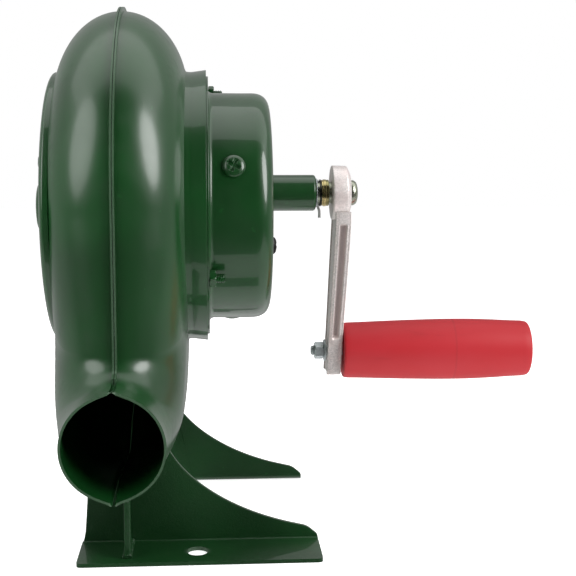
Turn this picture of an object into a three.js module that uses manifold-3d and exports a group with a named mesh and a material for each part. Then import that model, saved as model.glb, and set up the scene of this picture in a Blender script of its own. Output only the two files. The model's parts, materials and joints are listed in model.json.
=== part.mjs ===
// Hand-cranked centrifugal blower: a stamped sheet-steel scroll on two bent feet, a two-stage gear train
// in a round case on its right side, and a cast crank arm with a loose-turning grip.
// Millimetres. Working frame: X along the shafts (+X towards the crank), +Z up, -Y where the air comes out,
// X = 0 on the seam of the scroll and Y = Z = 0 on the fan's axis. The last lines move the whole group so
// that its origin is the middle of the box it stands in, on the floor.
import * as THREE from 'three';
import { mergeVertices } from 'three/addons/utils/BufferGeometryUtils.js';
import Module from 'manifold-3d';

const wasm = await Module();
wasm.setup();

// ---- clearances ----
const gap = 0.3; // between two pieces that touch or seat
const running = 0.2; // radial, round a shaft that turns

// ---- scroll ----
const frontRadius = 92.5; // fan axis to the wall at the front
const scrollGrowth = 40; // what that radius gains over the top and back, down to the bottom
const scrollHalfWidth = 35;
const shoulderRadius = 62; // flat sides end here and the round wall begins
const scrollWall = 1.2;
const lipHeight = 2.7; // seam lip, outwards from the wall
const lipThickness = 1.2;
const outletRadius = 25;
const outletReach = 118.4; // fan axis to the mouth
const outletFlare = scrollHalfWidth - 1.7 - outletRadius; // half-width gained between mouth and scroll
const slitWidth = 2.2; // the seam gapes at the bottom of the mouth
const slitLength = 45;
const bottomRadius = frontRadius + scrollGrowth;
const outletBottom = -(bottomRadius - 0.2);

// ---- intake side ----
const plateRadius = 73;
const plateRim = 2.7; // how far the plate's edge stands off the scroll
const plateDome = 3.2;
const plateWall = 1.2;
const bossRadius = 13;
const bossFoot = 20;
const bossHeight = 6.4;
const eyeRadius = 37; // hole in the scroll's left wall
const airHoleCount = 6;
const airHoleRadius = 8;
const airHoleCircle = 28;
const plateScrewCircle = 47;
const plateScrewAngle = 32;
const plateScrewHead = 4.4;

// ---- feet ----
const footDrop = 41.2; // scroll bottom to floor
const footSheet = 2;
const footPlane = 58; // fan axis to the middle of each upright plate
const flangeWidth = 32.5;
const footLeft = -21.2;
const footRight = 102;
const footHoleX = 38.9;
const footHoleFromBend = 17.1;
const footHoleRadius = 5;
const footHoleSlot = 3; // extra length across the flange
const toeHeight = 8.5;
const rearFlangeRight = 60; // the rear flange is cut shorter than its upright plate
const neckWidth = 22; // where the curved edge meets the scroll
const strutX = 2.5;
const strutThickness = 1.8;
const strutDepth = 27;

// ---- gear case ----
const panWall = 1.3;
const panDepth = 9.7;
const panRadius = 73.2;
const panFlare = 1.2;
const panEye = 15.3;
const wallEye = 20; // hole in the scroll's right wall
const gearPlateThickness = 7.6;
const drumRadius = 62;
const drumLength = 34.5;
const drumWall = 1.5;
const drumEdge = 7.7; // rounded edge of the drum
const drumFlange = 9; // outwards from the drum
const drumFlangeThickness = 1.3;
const studCircle = 67.4;
const studRadius = 2.6;
const studReach = 8; // past the flange
const nutFlats = 8.6;
const nutHeight = 3.2;
const lugLength = 20;
const lugWidth = 12;
const lugDepth = 9;
const rimScrewX = 14; // from the drum's flange
const rimScrewHead = 5.95;
const rimScrewAngles = [22, 142, 262]; // from the front, over the top
const studAngles = [113, 221, 330];
const fixScrewCircle = 45;
const fixScrewRadius = 2.2;

// ---- gear train ----
const crankOffset = 7.14; // crank axis above the fan axis
const gearRoom = 3.6; // idler gear to the drum's inner wall
const crankTeeth = 60;
const idlerPinionTeeth = 12;
const idlerTeeth = 50;
const fanPinionTeeth = 12;
const gearAddendum = 0.7; // in modules; short on the wheels and long on the pinions
const pinionAddendum = 1.1;
const rootClearance = 0.3;
const backlash = 0.2;
const wheelWidth = 6.5;
const idlerPinRadius = 3;
const idlerHead = 4.8;
const fanShaftRadius = 4;
const fanJournalRadius = 3;
const bushWall = 2.8;

// ---- fan wheel ----
const fanRadius = 76;
const bladeRoot = 32;
const bladeWidth = 27;
const bladeCount = 8;
const bladeSheet = 1.2;
const bladeSweep = 16; // degrees the blade leans back between root and tip
const hubRadius = 10;
const hubLength = 22;
const fanDiscX = 10;

// ---- crank ----
const crankShaftRadius = 6;
const sleeveRadius = crankShaftRadius + 4;
const sleeveWall = 1.7;
const sleeveReach = 26; // out of the drum's face
const sleeveCollar = sleeveRadius + 6;
const washerThickness = 0.5;
const cotterRadius = 0.65;
const cotterRoom = 1.7;
const spacerRadius = crankShaftRadius + 1.5;
const spacerLength = 4.1;
const armHubRadius = 15.2;
const armHubLength = 11.9;
const armThrow = 89.2;
const armThickness = 8.8;
const armFlange = 2.3; // the two outer strips of the arm's section
const armGroove = 3; // depth of the groove between them
const armTopHalf = 12;
const armEndHalf = 9.5;
const armTail = 12.6; // grip axis to the squared end
const armLean = 0.036; // the arm's foot comes in towards the case
const shaftEnd = 4.3; // domed end past the hub

// ---- grip ----
const gripLength = 106.6;
const gripInner = 15.9;
const gripBelly = 17.4;
const gripOuter = 15.5;
const gripRound = 3;
const boltRadius = 3;
const boltHead = 5.5;
const boltHeadHeight = 4;
const gripRecess = 7.6;
const boltTail = 2;

const deg = Math.PI / 180;
const fine = 30; // sides of a large round piece
const coarse = 14; // sides of a small one

const finishes = {
  enamel: new THREE.MeshStandardMaterial({ color: 0x1d4a27, roughness: 0.25, metalness: 0.1 }),
  castAlloy: new THREE.MeshStandardMaterial({ color: 0xc9c0bd, roughness: 0.45, metalness: 0.9 }),
  redPlastic: new THREE.MeshStandardMaterial({ color: 0xb8263a, roughness: 0.5, metalness: 0 }),
  zinc: new THREE.MeshStandardMaterial({ color: 0x9aa3a8, roughness: 0.35, metalness: 0.9 }),
  darkSteel: new THREE.MeshStandardMaterial({ color: 0x2c2f2e, roughness: 0.4, metalness: 0.8 }),
  yellowZinc: new THREE.MeshStandardMaterial({ color: 0xb59a4e, roughness: 0.35, metalness: 0.9 }),
  bronze: new THREE.MeshStandardMaterial({ color: 0xa07a45, roughness: 0.45, metalness: 0.9 }),
  gearSteel: new THREE.MeshStandardMaterial({ color: 0x6f7274, roughness: 0.45, metalness: 0.9 }),
  bareSheet: new THREE.MeshStandardMaterial({ color: 0x7d8284, roughness: 0.4, metalness: 0.9 }),
};

// ---- making and joining solids ----

// One closed surface with shared corners and faces that point out.
function closed(geometry) {
  const bare = new THREE.BufferGeometry();
  bare.setAttribute('position', geometry.getAttribute('position').clone());
  if (geometry.index) bare.setIndex(geometry.index.clone());
  const merged = mergeVertices(bare, 1e-4);
  const place = merged.getAttribute('position');
  const corner = (i) => new THREE.Vector3().fromBufferAttribute(place, i);
  const kept = [];
  let volume = 0;
  for (let i = 0; i < merged.index.count; i += 3) {
    const [a, b, c] = [0, 1, 2].map((k) => merged.index.getX(i + k));
    if (a === b || b === c || c === a) continue;
    kept.push([a, b, c]);
    volume += corner(a).dot(corner(b).cross(corner(c)));
  }
  merged.setIndex(kept.flatMap(([a, b, c]) => (volume < 0 ? [a, c, b] : [a, b, c])));
  return merged;
}

function solid(geometry) {
  const shell = closed(geometry);
  return new wasm.Manifold(
    new wasm.Mesh({
      numProp: 3,
      vertProperties: new Float32Array(shell.getAttribute('position').array),
      triVerts: new Uint32Array(shell.index.array),
    }),
  );
}

function surface(manifold) {
  const mesh = manifold.getMesh();
  const geometry = new THREE.BufferGeometry();
  geometry.setAttribute('position', new THREE.BufferAttribute(mesh.vertProperties, 3));
  geometry.setIndex(new THREE.BufferAttribute(mesh.triVerts, 1));
  return geometry;
}

const joined = (pieces) => pieces.reduce((a, b) => a.add(b));
const without = (piece, cuts) => cuts.reduce((a, b) => a.subtract(b), piece);

// Shape drawn in (Y, Z) and carried along X.
function alongX(shape, x0, x1, curveSegments = 12) {
  const body = new THREE.ExtrudeGeometry(shape, { depth: x1 - x0, bevelEnabled: false, curveSegments });
  const turn = new THREE.Matrix4().makeBasis(
    new THREE.Vector3(0, 1, 0),
    new THREE.Vector3(0, 0, 1),
    new THREE.Vector3(1, 0, 0),
  );
  return body.applyMatrix4(turn).translate(x0, 0, 0);
}

// Shape drawn in (X, Z) and carried along Y, from y0 up to y1.
function alongY(shape, y0, y1, curveSegments = 12) {
  const body = new THREE.ExtrudeGeometry(shape, { depth: y1 - y0, bevelEnabled: false, curveSegments });
  return body.rotateX(Math.PI / 2).translate(0, y1, 0);
}

// Profile of [x, radius] turned about the X axis, then moved off it.
function turned(profile, segments = coarse, y = 0, z = 0) {
  const points = profile.map(([x, radius]) => new THREE.Vector2(radius, x));
  const turn = new THREE.Matrix4().makeBasis(
    new THREE.Vector3(0, 0, 1),
    new THREE.Vector3(1, 0, 0),
    new THREE.Vector3(0, 1, 0),
  );
  return new THREE.LatheGeometry(points, segments).applyMatrix4(turn).translate(0, y, z);
}

const rod = (x0, x1, radius, segments = coarse, y = 0, z = 0) =>
  turned([[x0, 0], [x0, radius], [x1, radius], [x1, 0]], segments, y, z);

const ring = (x0, x1, bore, radius, segments = coarse, y = 0, z = 0) =>
  turned([[x0, bore], [x0, radius], [x1, radius], [x1, bore], [x0, bore]], segments, y, z);

// Quarter arc of [x, radius] points from (x0, r0) round a corner, for turned profiles.
function arc(x, radius, size, from, to, steps = 3) {
  return Array.from({ length: steps + 1 }, (_, i) => {
    const a = (from + ((to - from) * i) / steps) * deg;
    return [x + size * Math.cos(a), radius + size * Math.sin(a)];
  });
}

function hexagon(flats) {
  const corner = flats / Math.sqrt(3);
  const points = Array.from({ length: 6 }, (_, i) => {
    const a = (i * 60 + 30) * deg;
    return new THREE.Vector2(corner * Math.cos(a), corner * Math.sin(a));
  });
  return new THREE.Shape(points);
}

// Point at a radius and an angle measured from the front, over the top: [Y, Z].
const around = (radius, degrees) => [-radius * Math.cos(degrees * deg), radius * Math.sin(degrees * deg)];

function box(x0, x1, y0, y1, z0, z1) {
  const block = new THREE.BoxGeometry(x1 - x0, y1 - y0, z1 - z0);
  return block.translate((x0 + x1) / 2, (y0 + y1) / 2, (z0 + z1) / 2);
}

// ---- where things lie along X ----
const panX = scrollHalfWidth + gap;
const gearPlateX = panX + panWall + gap;
const drumX = gearPlateX + gearPlateThickness + gap;
const drumFaceX = drumX + drumLength;
const sleeveEndX = drumFaceX + sleeveReach;
const cotterX = sleeveEndX + gap + washerThickness + cotterRoom / 2;
const spacerX = sleeveEndX + 2 * gap + 2 * washerThickness + cotterRoom;
const armX = spacerX + spacerLength + gap;
const armFaceX = armX + armHubLength;
const wheelX = drumX + 4.5; // idler gear, next to the plate
const crankGearX = wheelX + wheelWidth + 6;

// ---- gear centres ----
const wheelReach = idlerTeeth + fanPinionTeeth / 2 + gearAddendum;
const gearModule = (drumRadius - drumWall - gearRoom) / wheelReach;
const crankToIdler = (gearModule * (crankTeeth + idlerPinionTeeth)) / 2;
const idlerToFan = (gearModule * (idlerTeeth + fanPinionTeeth)) / 2;
const idlerZ = (crankOffset ** 2 - crankToIdler ** 2 + idlerToFan ** 2) / (2 * crankOffset);
const idlerY = -Math.sqrt(idlerToFan ** 2 - idlerZ ** 2);

// ---- scroll ----

// Fan axis to the wall, at an angle from the front, over the top. The front wall runs straight down
// to the outlet, and the stretch below it lies inside the outlet.
function scrollRadius(degrees) {
  if (degrees <= 270) return frontRadius + (scrollGrowth * degrees) / 270;
  const straight = frontRadius / Math.cos((360 - degrees) * deg);
  return Math.min(bottomRadius - 1.5, straight);
}

// The scroll's filled shape, every wall moved out by grow.
function scrollBody(grow) {
  const turns = 36;
  const steps = 8;
  const half = scrollHalfWidth + grow;
  const places = [-half, 0, 0, half, 0, 0];
  for (let i = 0; i < turns; i += 1) {
    const degrees = (360 * i) / turns;
    const crown = scrollRadius(degrees) + grow - shoulderRadius;
    for (let j = 0; j <= steps; j += 1) {
      const across = (-90 + (180 * j) / steps) * deg;
      const [y, z] = around(shoulderRadius + crown * Math.cos(across), degrees);
      places.push(half * Math.sin(across), y, z);
    }
  }
  const at = (i, j) => 2 + (i % turns) * (steps + 1) + j;
  const faces = [];
  for (let i = 0; i < turns; i += 1) {
    faces.push(0, at(i, 0), at(i + 1, 0), 1, at(i + 1, steps), at(i, steps));
    for (let j = 0; j < steps; j += 1) {
      faces.push(at(i, j), at(i, j + 1), at(i + 1, j), at(i + 1, j), at(i, j + 1), at(i + 1, j + 1));
    }
  }
  return gridSolid(places, faces);
}

function gridSolid(places, faces) {
  const geometry = new THREE.BufferGeometry();
  geometry.setAttribute('position', new THREE.Float32BufferAttribute(places, 3));
  geometry.setIndex(faces);
  return solid(geometry);
}

const outletStations = [1, 0.87, 0.74, 0.6, 0.44, 0.24, 0]; // shares of the reach
const outletSides = 24;

// The outlet's filled shape: a round mouth that widens and deepens into the scroll.
function outletBody(grow, ahead) {
  const stations = [-outletReach - ahead, ...outletStations.map((share) => -outletReach * share)];
  const places = [];
  stations.forEach((y) => {
    const along = THREE.MathUtils.clamp((y + outletReach) / outletReach, 0, 1);
    const spread = THREE.MathUtils.smoothstep(along, 0, 0.5);
    const half = outletRadius + outletFlare * spread + grow;
    const deep = outletRadius + (bottomRadius / 2 - outletRadius) * along * along + grow;
    const middle = outletBottom - grow + deep + along;
    for (let k = 0; k < outletSides; k += 1) {
      const a = (360 * k * deg) / outletSides;
      places.push(half * Math.sin(a), y, middle + deep * Math.cos(a));
    }
  });
  const last = stations.length - 1;
  const at = (i, k) => i * outletSides + (k % outletSides);
  const faces = [];
  for (let i = 0; i < last; i += 1) {
    for (let k = 0; k < outletSides; k += 1) {
      faces.push(at(i, k), at(i + 1, k), at(i, k + 1), at(i, k + 1), at(i + 1, k), at(i + 1, k + 1));
    }
  }
  for (let k = 1; k < outletSides - 1; k += 1) {
    faces.push(at(0, 0), at(0, k), at(0, k + 1), at(last, 0), at(last, k + 1), at(last, k));
  }
  return gridSolid(places, faces);
}

const filledScroll = (grow, ahead = 0) => scrollBody(grow).add(outletBody(grow, ahead));

// Everything outside the scroll that a neighbour must keep clear of.
function scrollEnvelope(room) {
  const lipSlab = solid(box(-lipThickness - gap - room, lipThickness + gap + room, -300, 300, -300, 300));
  return filledScroll(room).add(filledScroll(lipHeight + room).intersect(lipSlab));
}

// One stamped half; side is -1 for the intake half and 1 for the gear half.
function scrollHalf(side, eye) {
  const edge = (gap / 2) * side;
  const span = (a, b) => (side > 0 ? [a, b] : [-b, -a]);
  const slab = solid(box(...span(Math.abs(edge), 200), -300, 300, -300, 300));
  const lipSlab = solid(box(...span(Math.abs(edge), gap / 2 + lipThickness), -outletReach, 300, -300, 300));
  const shell = filledScroll(0).intersect(slab).add(filledScroll(lipHeight).intersect(lipSlab));
  const slit = new THREE.Shape([
    new THREE.Vector2(0, -outletReach - 1),
    new THREE.Vector2((slitWidth / 2) * side, -outletReach - 1),
    new THREE.Vector2(0, -outletReach + slitLength),
  ]);
  const slitCut = new THREE.ExtrudeGeometry(slit, { depth: 20, bevelEnabled: false });
  slitCut.translate(0, 0, outletBottom - 10);
  const [eye0, eye1] = span(scrollHalfWidth - 5, scrollHalfWidth + 5);
  return without(shell, [
    filledScroll(-scrollWall, 5),
    solid(rod(eye0, eye1, eye, fine)),
    solid(slitCut),
    ...(side > 0 ? fixScrewHoles() : plateScrewHoles()),
  ]);
}

const threeAround = (radius, start) => [0, 120, 240].map((turn) => around(radius, start + turn));

const plateScrewHoles = () =>
  threeAround(plateScrewCircle, plateScrewAngle).map(([y, z]) => solid(rod(-60, -20, 2 + gap, 10, y, z)));

const fixScrewHoles = () =>
  threeAround(fixScrewCircle, 30).map(([y, z]) =>
    solid(rod(20, gearPlateX + 5.5, fixScrewRadius + gap, 10, y, z)));

// ---- intake side ----
const plateBaseX = -(scrollHalfWidth + gap);
const plateFaceX = plateBaseX - plateRim;
const bossBaseX = plateFaceX - plateDome;
const bossTopX = bossBaseX - bossHeight;
const intakeBushRadius = fanShaftRadius + running + 4.5;

function intakePlate() {
  const plate = turned([
    [bossTopX, 0],
    [bossTopX, bossRadius - 2],
    [bossTopX + 0.8, bossRadius],
    [bossBaseX, bossFoot],
    [plateFaceX, plateRadius - 1.2],
    [plateFaceX + 1.2, plateRadius],
    [plateBaseX, plateRadius],
    [plateBaseX, plateRadius - plateWall],
    [plateFaceX + plateWall, plateRadius - plateWall - 0.6],
    [bossBaseX + plateWall, bossFoot - 0.8],
    [bossBaseX + plateWall, intakeBushRadius + gap],
    [bossTopX + plateWall, intakeBushRadius + gap],
    [bossTopX + plateWall, 0],
  ], fine);
  const airHoles = Array.from({ length: airHoleCount }, (_, i) => {
    const [y, z] = around(airHoleCircle, (i * 360) / airHoleCount);
    return solid(rod(-60, -30, airHoleRadius, 16, y, z));
  });
  return without(solid(plate), [...airHoles, ...plateScrewHoles()]);
}

// The plate's outer face at a distance from the axis.
const plateFaceAt = (radius) =>
  plateFaceX - (plateDome * (plateRadius - 1.2 - radius)) / (plateRadius - 1.2 - bossFoot);

function intakeScrew([y, z]) {
  const seat = plateFaceAt(plateScrewCircle) - gap;
  const screw = turned([
    [seat - 2.2, 0],
    [seat - 2.1, plateScrewHead - 1.6],
    [seat - 1.2, plateScrewHead],
    [seat, plateScrewHead],
    [seat, 2],
    [-scrollHalfWidth + 4, 2],
    [-scrollHalfWidth + 4, 0],
  ], 12, y, z);
  const slot = [box(seat - 3, seat - 1.1, y - 0.6, y + 0.6, z - 3, z + 3)];
  slot.push(box(seat - 3, seat - 1.1, y - 3, y + 3, z - 0.6, z + 0.6));
  return without(solid(screw), slot.map(solid));
}

const intakeBush = () =>
  ring(bossTopX + plateWall + gap, -scrollHalfWidth - 1, fanShaftRadius + running, intakeBushRadius, coarse);

// ---- feet ----
const floorZ = -(bottomRadius + footDrop);

function footOutline() {
  const shape = new THREE.Shape();
  shape.moveTo(footLeft, floorZ);
  shape.lineTo(footRight, floorZ);
  shape.lineTo(footRight, floorZ + toeHeight - 5);
  shape.lineTo(footRight - 6, floorZ + toeHeight);
  shape.bezierCurveTo(
    footRight - 42, floorZ + toeHeight + 6.5,
    neckWidth + 8, floorZ + 34,
    neckWidth, floorZ + 56,
  );
  shape.lineTo(neckWidth - 4, floorZ + 76);
  shape.lineTo(footLeft + 6, floorZ + 76);
  shape.lineTo(footLeft + 2.6, floorZ + 18);
  shape.quadraticCurveTo(footLeft + 2.2, floorZ + 8, footLeft, floorZ);
  return shape;
}

// A foot: an upright plate cut to the scroll, bent outwards at the floor. Way is -1 in front and 1 behind.
function foot(way) {
  const plane = footPlane * way;
  const upright = solid(alongY(footOutline(), plane - footSheet / 2, plane + footSheet / 2, 10));
  const bend = plane + (footSheet / 2) * way;
  const inner = plane - (footSheet / 2) * way;
  const outer = bend + flangeWidth * way;
  const corner = 3;
  const right = way < 0 ? footRight : rearFlangeRight;
  const flange = new THREE.Shape();
  flange.moveTo(footLeft, inner);
  flange.lineTo(right, inner);
  flange.lineTo(right, outer - corner * way);
  flange.quadraticCurveTo(right, outer, right - corner, outer);
  flange.lineTo(footLeft + corner, outer);
  flange.quadraticCurveTo(footLeft, outer, footLeft, outer - corner * way);
  const sheet = new THREE.ExtrudeGeometry(flange, { depth: footSheet, bevelEnabled: false, curveSegments: 4 });
  sheet.translate(0, 0, floorZ);
  const hole = new THREE.CylinderGeometry(footHoleRadius, footHoleRadius, 20, 24).rotateX(Math.PI / 2);
  const stretch = (footHoleRadius + footHoleSlot / 2) / footHoleRadius;
  hole.scale(1, stretch, 1).translate(footHoleX, bend + footHoleFromBend * way, floorZ);
  return without(upright.add(solid(sheet)), [solid(hole), scrollEnvelope(gap)]);
}

// A strip on edge between the front flange and the bottom of the outlet.
function strut() {
  const back = -footPlane - footSheet / 2 - gap;
  const strip = solid(
    box(strutX, strutX + strutThickness, back - strutDepth, back, floorZ + footSheet + gap, -100),
  );
  return strip.subtract(scrollEnvelope(gap));
}

// ---- gear case ----
function gearPan() {
  const x0 = panX;
  const x1 = panX + panWall;
  const bore = panEye;
  const pan = turned([
    [x0, bore],
    [x0, panRadius - 2],
    [x0 + 1.2, panRadius],
    [x0 + panDepth, panRadius + panFlare],
    [x0 + panDepth, panRadius + panFlare - panWall],
    [x1 + 0.4, panRadius - panWall],
    [x1, panRadius - panWall - 0.6],
    [x1, bore],
    [x0, bore],
  ], fine);
  return without(solid(pan), fixScrewHoles());
}

const lugFoot = drumRadius - drumWall - gap;

// Cast plate that carries the bearings, with three lugs for the radial screws.
function gearPlate() {
  const end = gearPlateX + gearPlateThickness;
  const disc = solid(rod(gearPlateX, end, panRadius - panWall - 0.7, fine));
  const lugs = rimScrewAngles.map((angle) => {
    const block = box(end - 1, end + lugLength, -lugFoot * 0.985, -lugFoot + lugDepth, -lugWidth / 2, lugWidth / 2);
    return solid(block.rotateX(-angle * deg));
  });
  const round = solid(rod(gearPlateX, end + lugLength, lugFoot, fine));
  const posts = joined(lugs).intersect(round);
  const studHoles = studAngles.map((angle) => {
    const [y, z] = around(studCircle, angle);
    return solid(rod(gearPlateX + 1.9, end + 1, studRadius + gap, 10, y, z));
  });
  const screwHoles = rimScrewAngles.map((angle) => {
    const bore = new THREE.CylinderGeometry(2.2 + gap, 2.2 + gap, 40, 10);
    bore.rotateX(Math.PI / 2).translate(drumX + rimScrewX, 0, 0);
    return solid(radially(bore, angle, lugFoot));
  });
  return without(disc.add(posts), [
    solid(rod(gearPlateX - 1, end + 1, fanShaftRadius + running + bushWall + gap, fine)),
    solid(rod(gearPlateX + 3.4, end + 1, idlerPinRadius + gap, 20, idlerY, idlerZ)),
    ...studHoles,
    ...screwHoles,
    ...fixScrewHoles(),
  ]);
}

// Turns a piece that points up Z so that it points out along a radius, its foot at the given radius.
function radially(geometry, degrees, radius) {
  return geometry.translate(0, 0, radius).rotateX((90 - degrees) * deg);
}

function gearDrum() {
  const face = drumFaceX;
  const innerFace = face - drumWall;
  const x0 = drumX;
  const x1 = drumX + drumFlangeThickness;
  const outerArc = arc(face - drumEdge, drumRadius - drumEdge, drumEdge, 90, 0);
  const innerArc = arc(face - drumEdge, drumRadius - drumEdge, drumEdge - drumWall, 0, 90);
  const drum = turned([
    [x0, drumRadius - drumWall],
    [x0, drumRadius + drumFlange],
    [x1, drumRadius + drumFlange],
    [x1, drumRadius + 0.6],
    [x1 + 0.6, drumRadius],
    ...outerArc,
    [face, 0],
    [innerFace, 0],
    ...innerArc,
    [x0, drumRadius - drumWall],
  ], fine);
  const studHoles = studAngles.map((angle) => {
    const [y, z] = around(studCircle, angle);
    return solid(rod(x0 - 1, x1 + 1, studRadius + gap, 10, y, z));
  });
  const screwHoles = rimScrewAngles.map((angle) => {
    const bore = new THREE.CylinderGeometry(2.2 + gap, 2.2 + gap, 10, 10).rotateX(Math.PI / 2);
    return solid(radially(bore.translate(drumX + rimScrewX, 0, 0), angle, drumRadius));
  });
  return without(solid(drum), [
    solid(rod(innerFace - 1, face + 1, sleeveRadius + gap, fine, 0, crankOffset)),
    solid(rod(innerFace - 1, face + 1, idlerPinRadius + gap, 20, idlerY, idlerZ)),
    ...studHoles,
    ...screwHoles,
  ]);
}

function flangeStud([y, z]) {
  const tip = drumX + drumFlangeThickness + studReach;
  return turned([
    [gearPlateX + 2.2, 0],
    [gearPlateX + 2.2, studRadius],
    [tip - 0.8, studRadius],
    [tip, studRadius - 0.8],
    [tip, 0],
  ], 12, y, z);
}

function hexNut(x0, x1, bore) {
  const shape = hexagon(nutFlats);
  shape.holes.push(new THREE.Path().absarc(0, 0, bore, 0, 2 * Math.PI));
  return alongX(shape, x0, x1, 6);
}

// A flat of the nut faces the drum.
function flangeNut(angle) {
  const seat = drumX + drumFlangeThickness + gap;
  const nut = hexNut(seat, seat + nutHeight, studRadius + gap);
  const [y, z] = around(studCircle, angle);
  return nut.rotateX(-angle * deg).translate(0, y, z);
}

// Pan-head screw with a cross recess, pointing out along a radius.
function rimScrew(angle) {
  const head = drumRadius + gap;
  const shank = new THREE.CylinderGeometry(2.2, 2.2, 12, 10).rotateX(Math.PI / 2).translate(0, 0, head - 5.5);
  const points = [[0, 2.9], [rimScrewHead - 2.6, 2.7], [rimScrewHead - 0.7, 1.6], [rimScrewHead, 0.5], [rimScrewHead, 0]];
  const profile = [...points, [0, 0]].map(([radius, height]) => new THREE.Vector2(radius, height));
  const cap = new THREE.LatheGeometry(profile, coarse).rotateX(Math.PI / 2).translate(0, 0, head);
  const cross = [box(-3.3, 3.3, -0.7, 0.7, head + 1.2, head + 4), box(-0.7, 0.7, -3.3, 3.3, head + 1.2, head + 4)];
  const screw = without(joined([solid(cap), solid(shank)]), cross.map(solid));
  return surface(screw).translate(drumX + rimScrewX, 0, 0).rotateX((90 - angle) * deg);
}

function fixScrew([y, z]) {
  const seat = scrollHalfWidth - scrollWall - gap;
  return turned([
    [seat - 2, 0],
    [seat - 2, 3],
    [seat, 4.2],
    [seat, fixScrewRadius],
    [gearPlateX + 5, fixScrewRadius],
    [gearPlateX + 5, 0],
  ], 10, y, z);
}

// ---- gears ----

// Involute tooth flanks; turn is the direction, in radians in the (Y, Z) plane, of one tooth's middle.
function gearShape(teeth, addendum, mateAddendum, turn) {
  const pitch = (gearModule * teeth) / 2;
  const base = pitch * Math.cos(20 * deg);
  const tip = pitch + gearModule * addendum;
  const root = pitch - gearModule * (mateAddendum + rootClearance);
  const spread = (radius) => {
    const slope = Math.acos(Math.min(1, base / radius));
    return Math.tan(slope) - slope;
  };
  const halfAt = (radius) =>
    Math.PI / 2 / teeth - backlash / 2 / pitch + spread(pitch) - spread(Math.max(radius, base));
  const radii = teeth > 30 ? [root, tip] : [root, Math.max(base, root + 0.05), pitch, tip];
  const points = [];
  for (let i = 0; i < teeth; i += 1) {
    const middle = turn + (2 * Math.PI * i) / teeth;
    radii.forEach((r) => points.push([r, middle - halfAt(r)]));
    [...radii].reverse().forEach((r) => points.push([r, middle + halfAt(r)]));
  }
  return new THREE.Shape(points.map(([r, a]) => new THREE.Vector2(r * Math.cos(a), r * Math.sin(a))));
}

function gear(shape, bore, x0, x1, y, z) {
  shape.holes.push(new THREE.Path().absarc(0, 0, bore, 0, 2 * Math.PI));
  return alongX(shape, x0, x1, 6).translate(0, y, z);
}

const crankToIdlerTurn = Math.atan2(idlerZ - crankOffset, idlerY);
const idlerToFanTurn = Math.atan2(-idlerZ, -idlerY);

function crankGear() {
  const wheel = gearShape(crankTeeth, gearAddendum, pinionAddendum, crankToIdlerTurn);
  const disc = solid(gear(wheel, crankShaftRadius + gap, crankGearX, crankGearX + wheelWidth, 0, crankOffset));
  const hub = ring(crankGearX + 1, crankGearX + wheelWidth + 3, crankShaftRadius + gap, 11, coarse, 0, crankOffset);
  return disc.add(solid(hub));
}

function idlerPinion() {
  const halfTooth = Math.PI / idlerPinionTeeth;
  const wheel = gearShape(idlerPinionTeeth, pinionAddendum, gearAddendum, crankToIdlerTurn + Math.PI + halfTooth);
  const end = crankGearX + wheelWidth + 1;
  return gear(wheel, idlerPinRadius + running, wheelX + wheelWidth + gap, end, idlerY, idlerZ);
}

function idlerGear() {
  const wheel = gearShape(idlerTeeth, gearAddendum, pinionAddendum, idlerToFanTurn);
  return gear(wheel, idlerPinRadius + running, wheelX, wheelX + wheelWidth, idlerY, idlerZ);
}

function fanPinion() {
  const halfTooth = Math.PI / fanPinionTeeth;
  const wheel = gearShape(fanPinionTeeth, pinionAddendum, gearAddendum, idlerToFanTurn + Math.PI + halfTooth);
  return gear(wheel, fanJournalRadius + gap, wheelX - 0.7, wheelX + wheelWidth + 1, 0, 0);
}

function idlerPin() {
  const seat = drumFaceX + gap;
  return turned([
    [gearPlateX + 3.7, 0],
    [gearPlateX + 3.7, idlerPinRadius],
    [seat, idlerPinRadius],
    [seat, idlerHead],
    [seat + 1.8, idlerHead],
    [seat + 2.9, idlerHead - 1.8],
    [seat + 2.9, 0],
  ], coarse, idlerY, idlerZ);
}

const idlerSpacer = () =>
  ring(drumX, wheelX - gap, idlerPinRadius + gap, idlerPinRadius + 2.4, coarse, idlerY, idlerZ);

const fanBush = () =>
  ring(gearPlateX, wheelX - 1, fanShaftRadius + running, fanShaftRadius + running + bushWall, coarse);

// ---- fan wheel ----
function fanShaft() {
  const shoulder = wheelX - 1;
  return turned([
    [bossTopX + plateWall + 1, 0],
    [bossTopX + plateWall + 1, fanShaftRadius],
    [shoulder, fanShaftRadius],
    [shoulder, fanJournalRadius],
    [wheelX + wheelWidth + 1.8, fanJournalRadius],
    [wheelX + wheelWidth + 1.8, 0],
  ], coarse);
}

const fanHub = () => ring(fanDiscX - hubLength, fanDiscX - gap, fanShaftRadius + gap, hubRadius);
const fanDisc = () => ring(fanDiscX, fanDiscX + 1.5, fanShaftRadius + gap, fanRadius, fine);
const fanCollar = () => ring(fanDiscX + 1.5 + gap, fanDiscX + 8, fanShaftRadius + gap, hubRadius);

// A blade that leans back: a thin strip between two swept curves, carried along X.
function fanBlade(number) {
  const start = (360 * number) / bladeCount;
  const steps = 5;
  const middle = Array.from({ length: steps + 1 }, (_, i) => {
    const radius = bladeRoot + ((fanRadius - bladeRoot) * i) / steps;
    const turn = start - bladeSweep * (i / steps) ** 1.5;
    return new THREE.Vector2(...around(radius, turn));
  });
  const offset = (side) => middle.map((point, i) => {
    const next = middle[Math.min(i + 1, steps)].clone().sub(middle[Math.max(i - 1, 0)]).normalize();
    return new THREE.Vector2(-next.y, next.x).multiplyScalar((side * bladeSheet) / 2).add(point);
  });
  const shape = new THREE.Shape([...offset(1), ...offset(-1).reverse()]);
  return alongX(shape, fanDiscX - gap - bladeWidth, fanDiscX - gap);
}

// ---- crank ----
const sleeveBore = sleeveRadius - sleeveWall;

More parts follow.
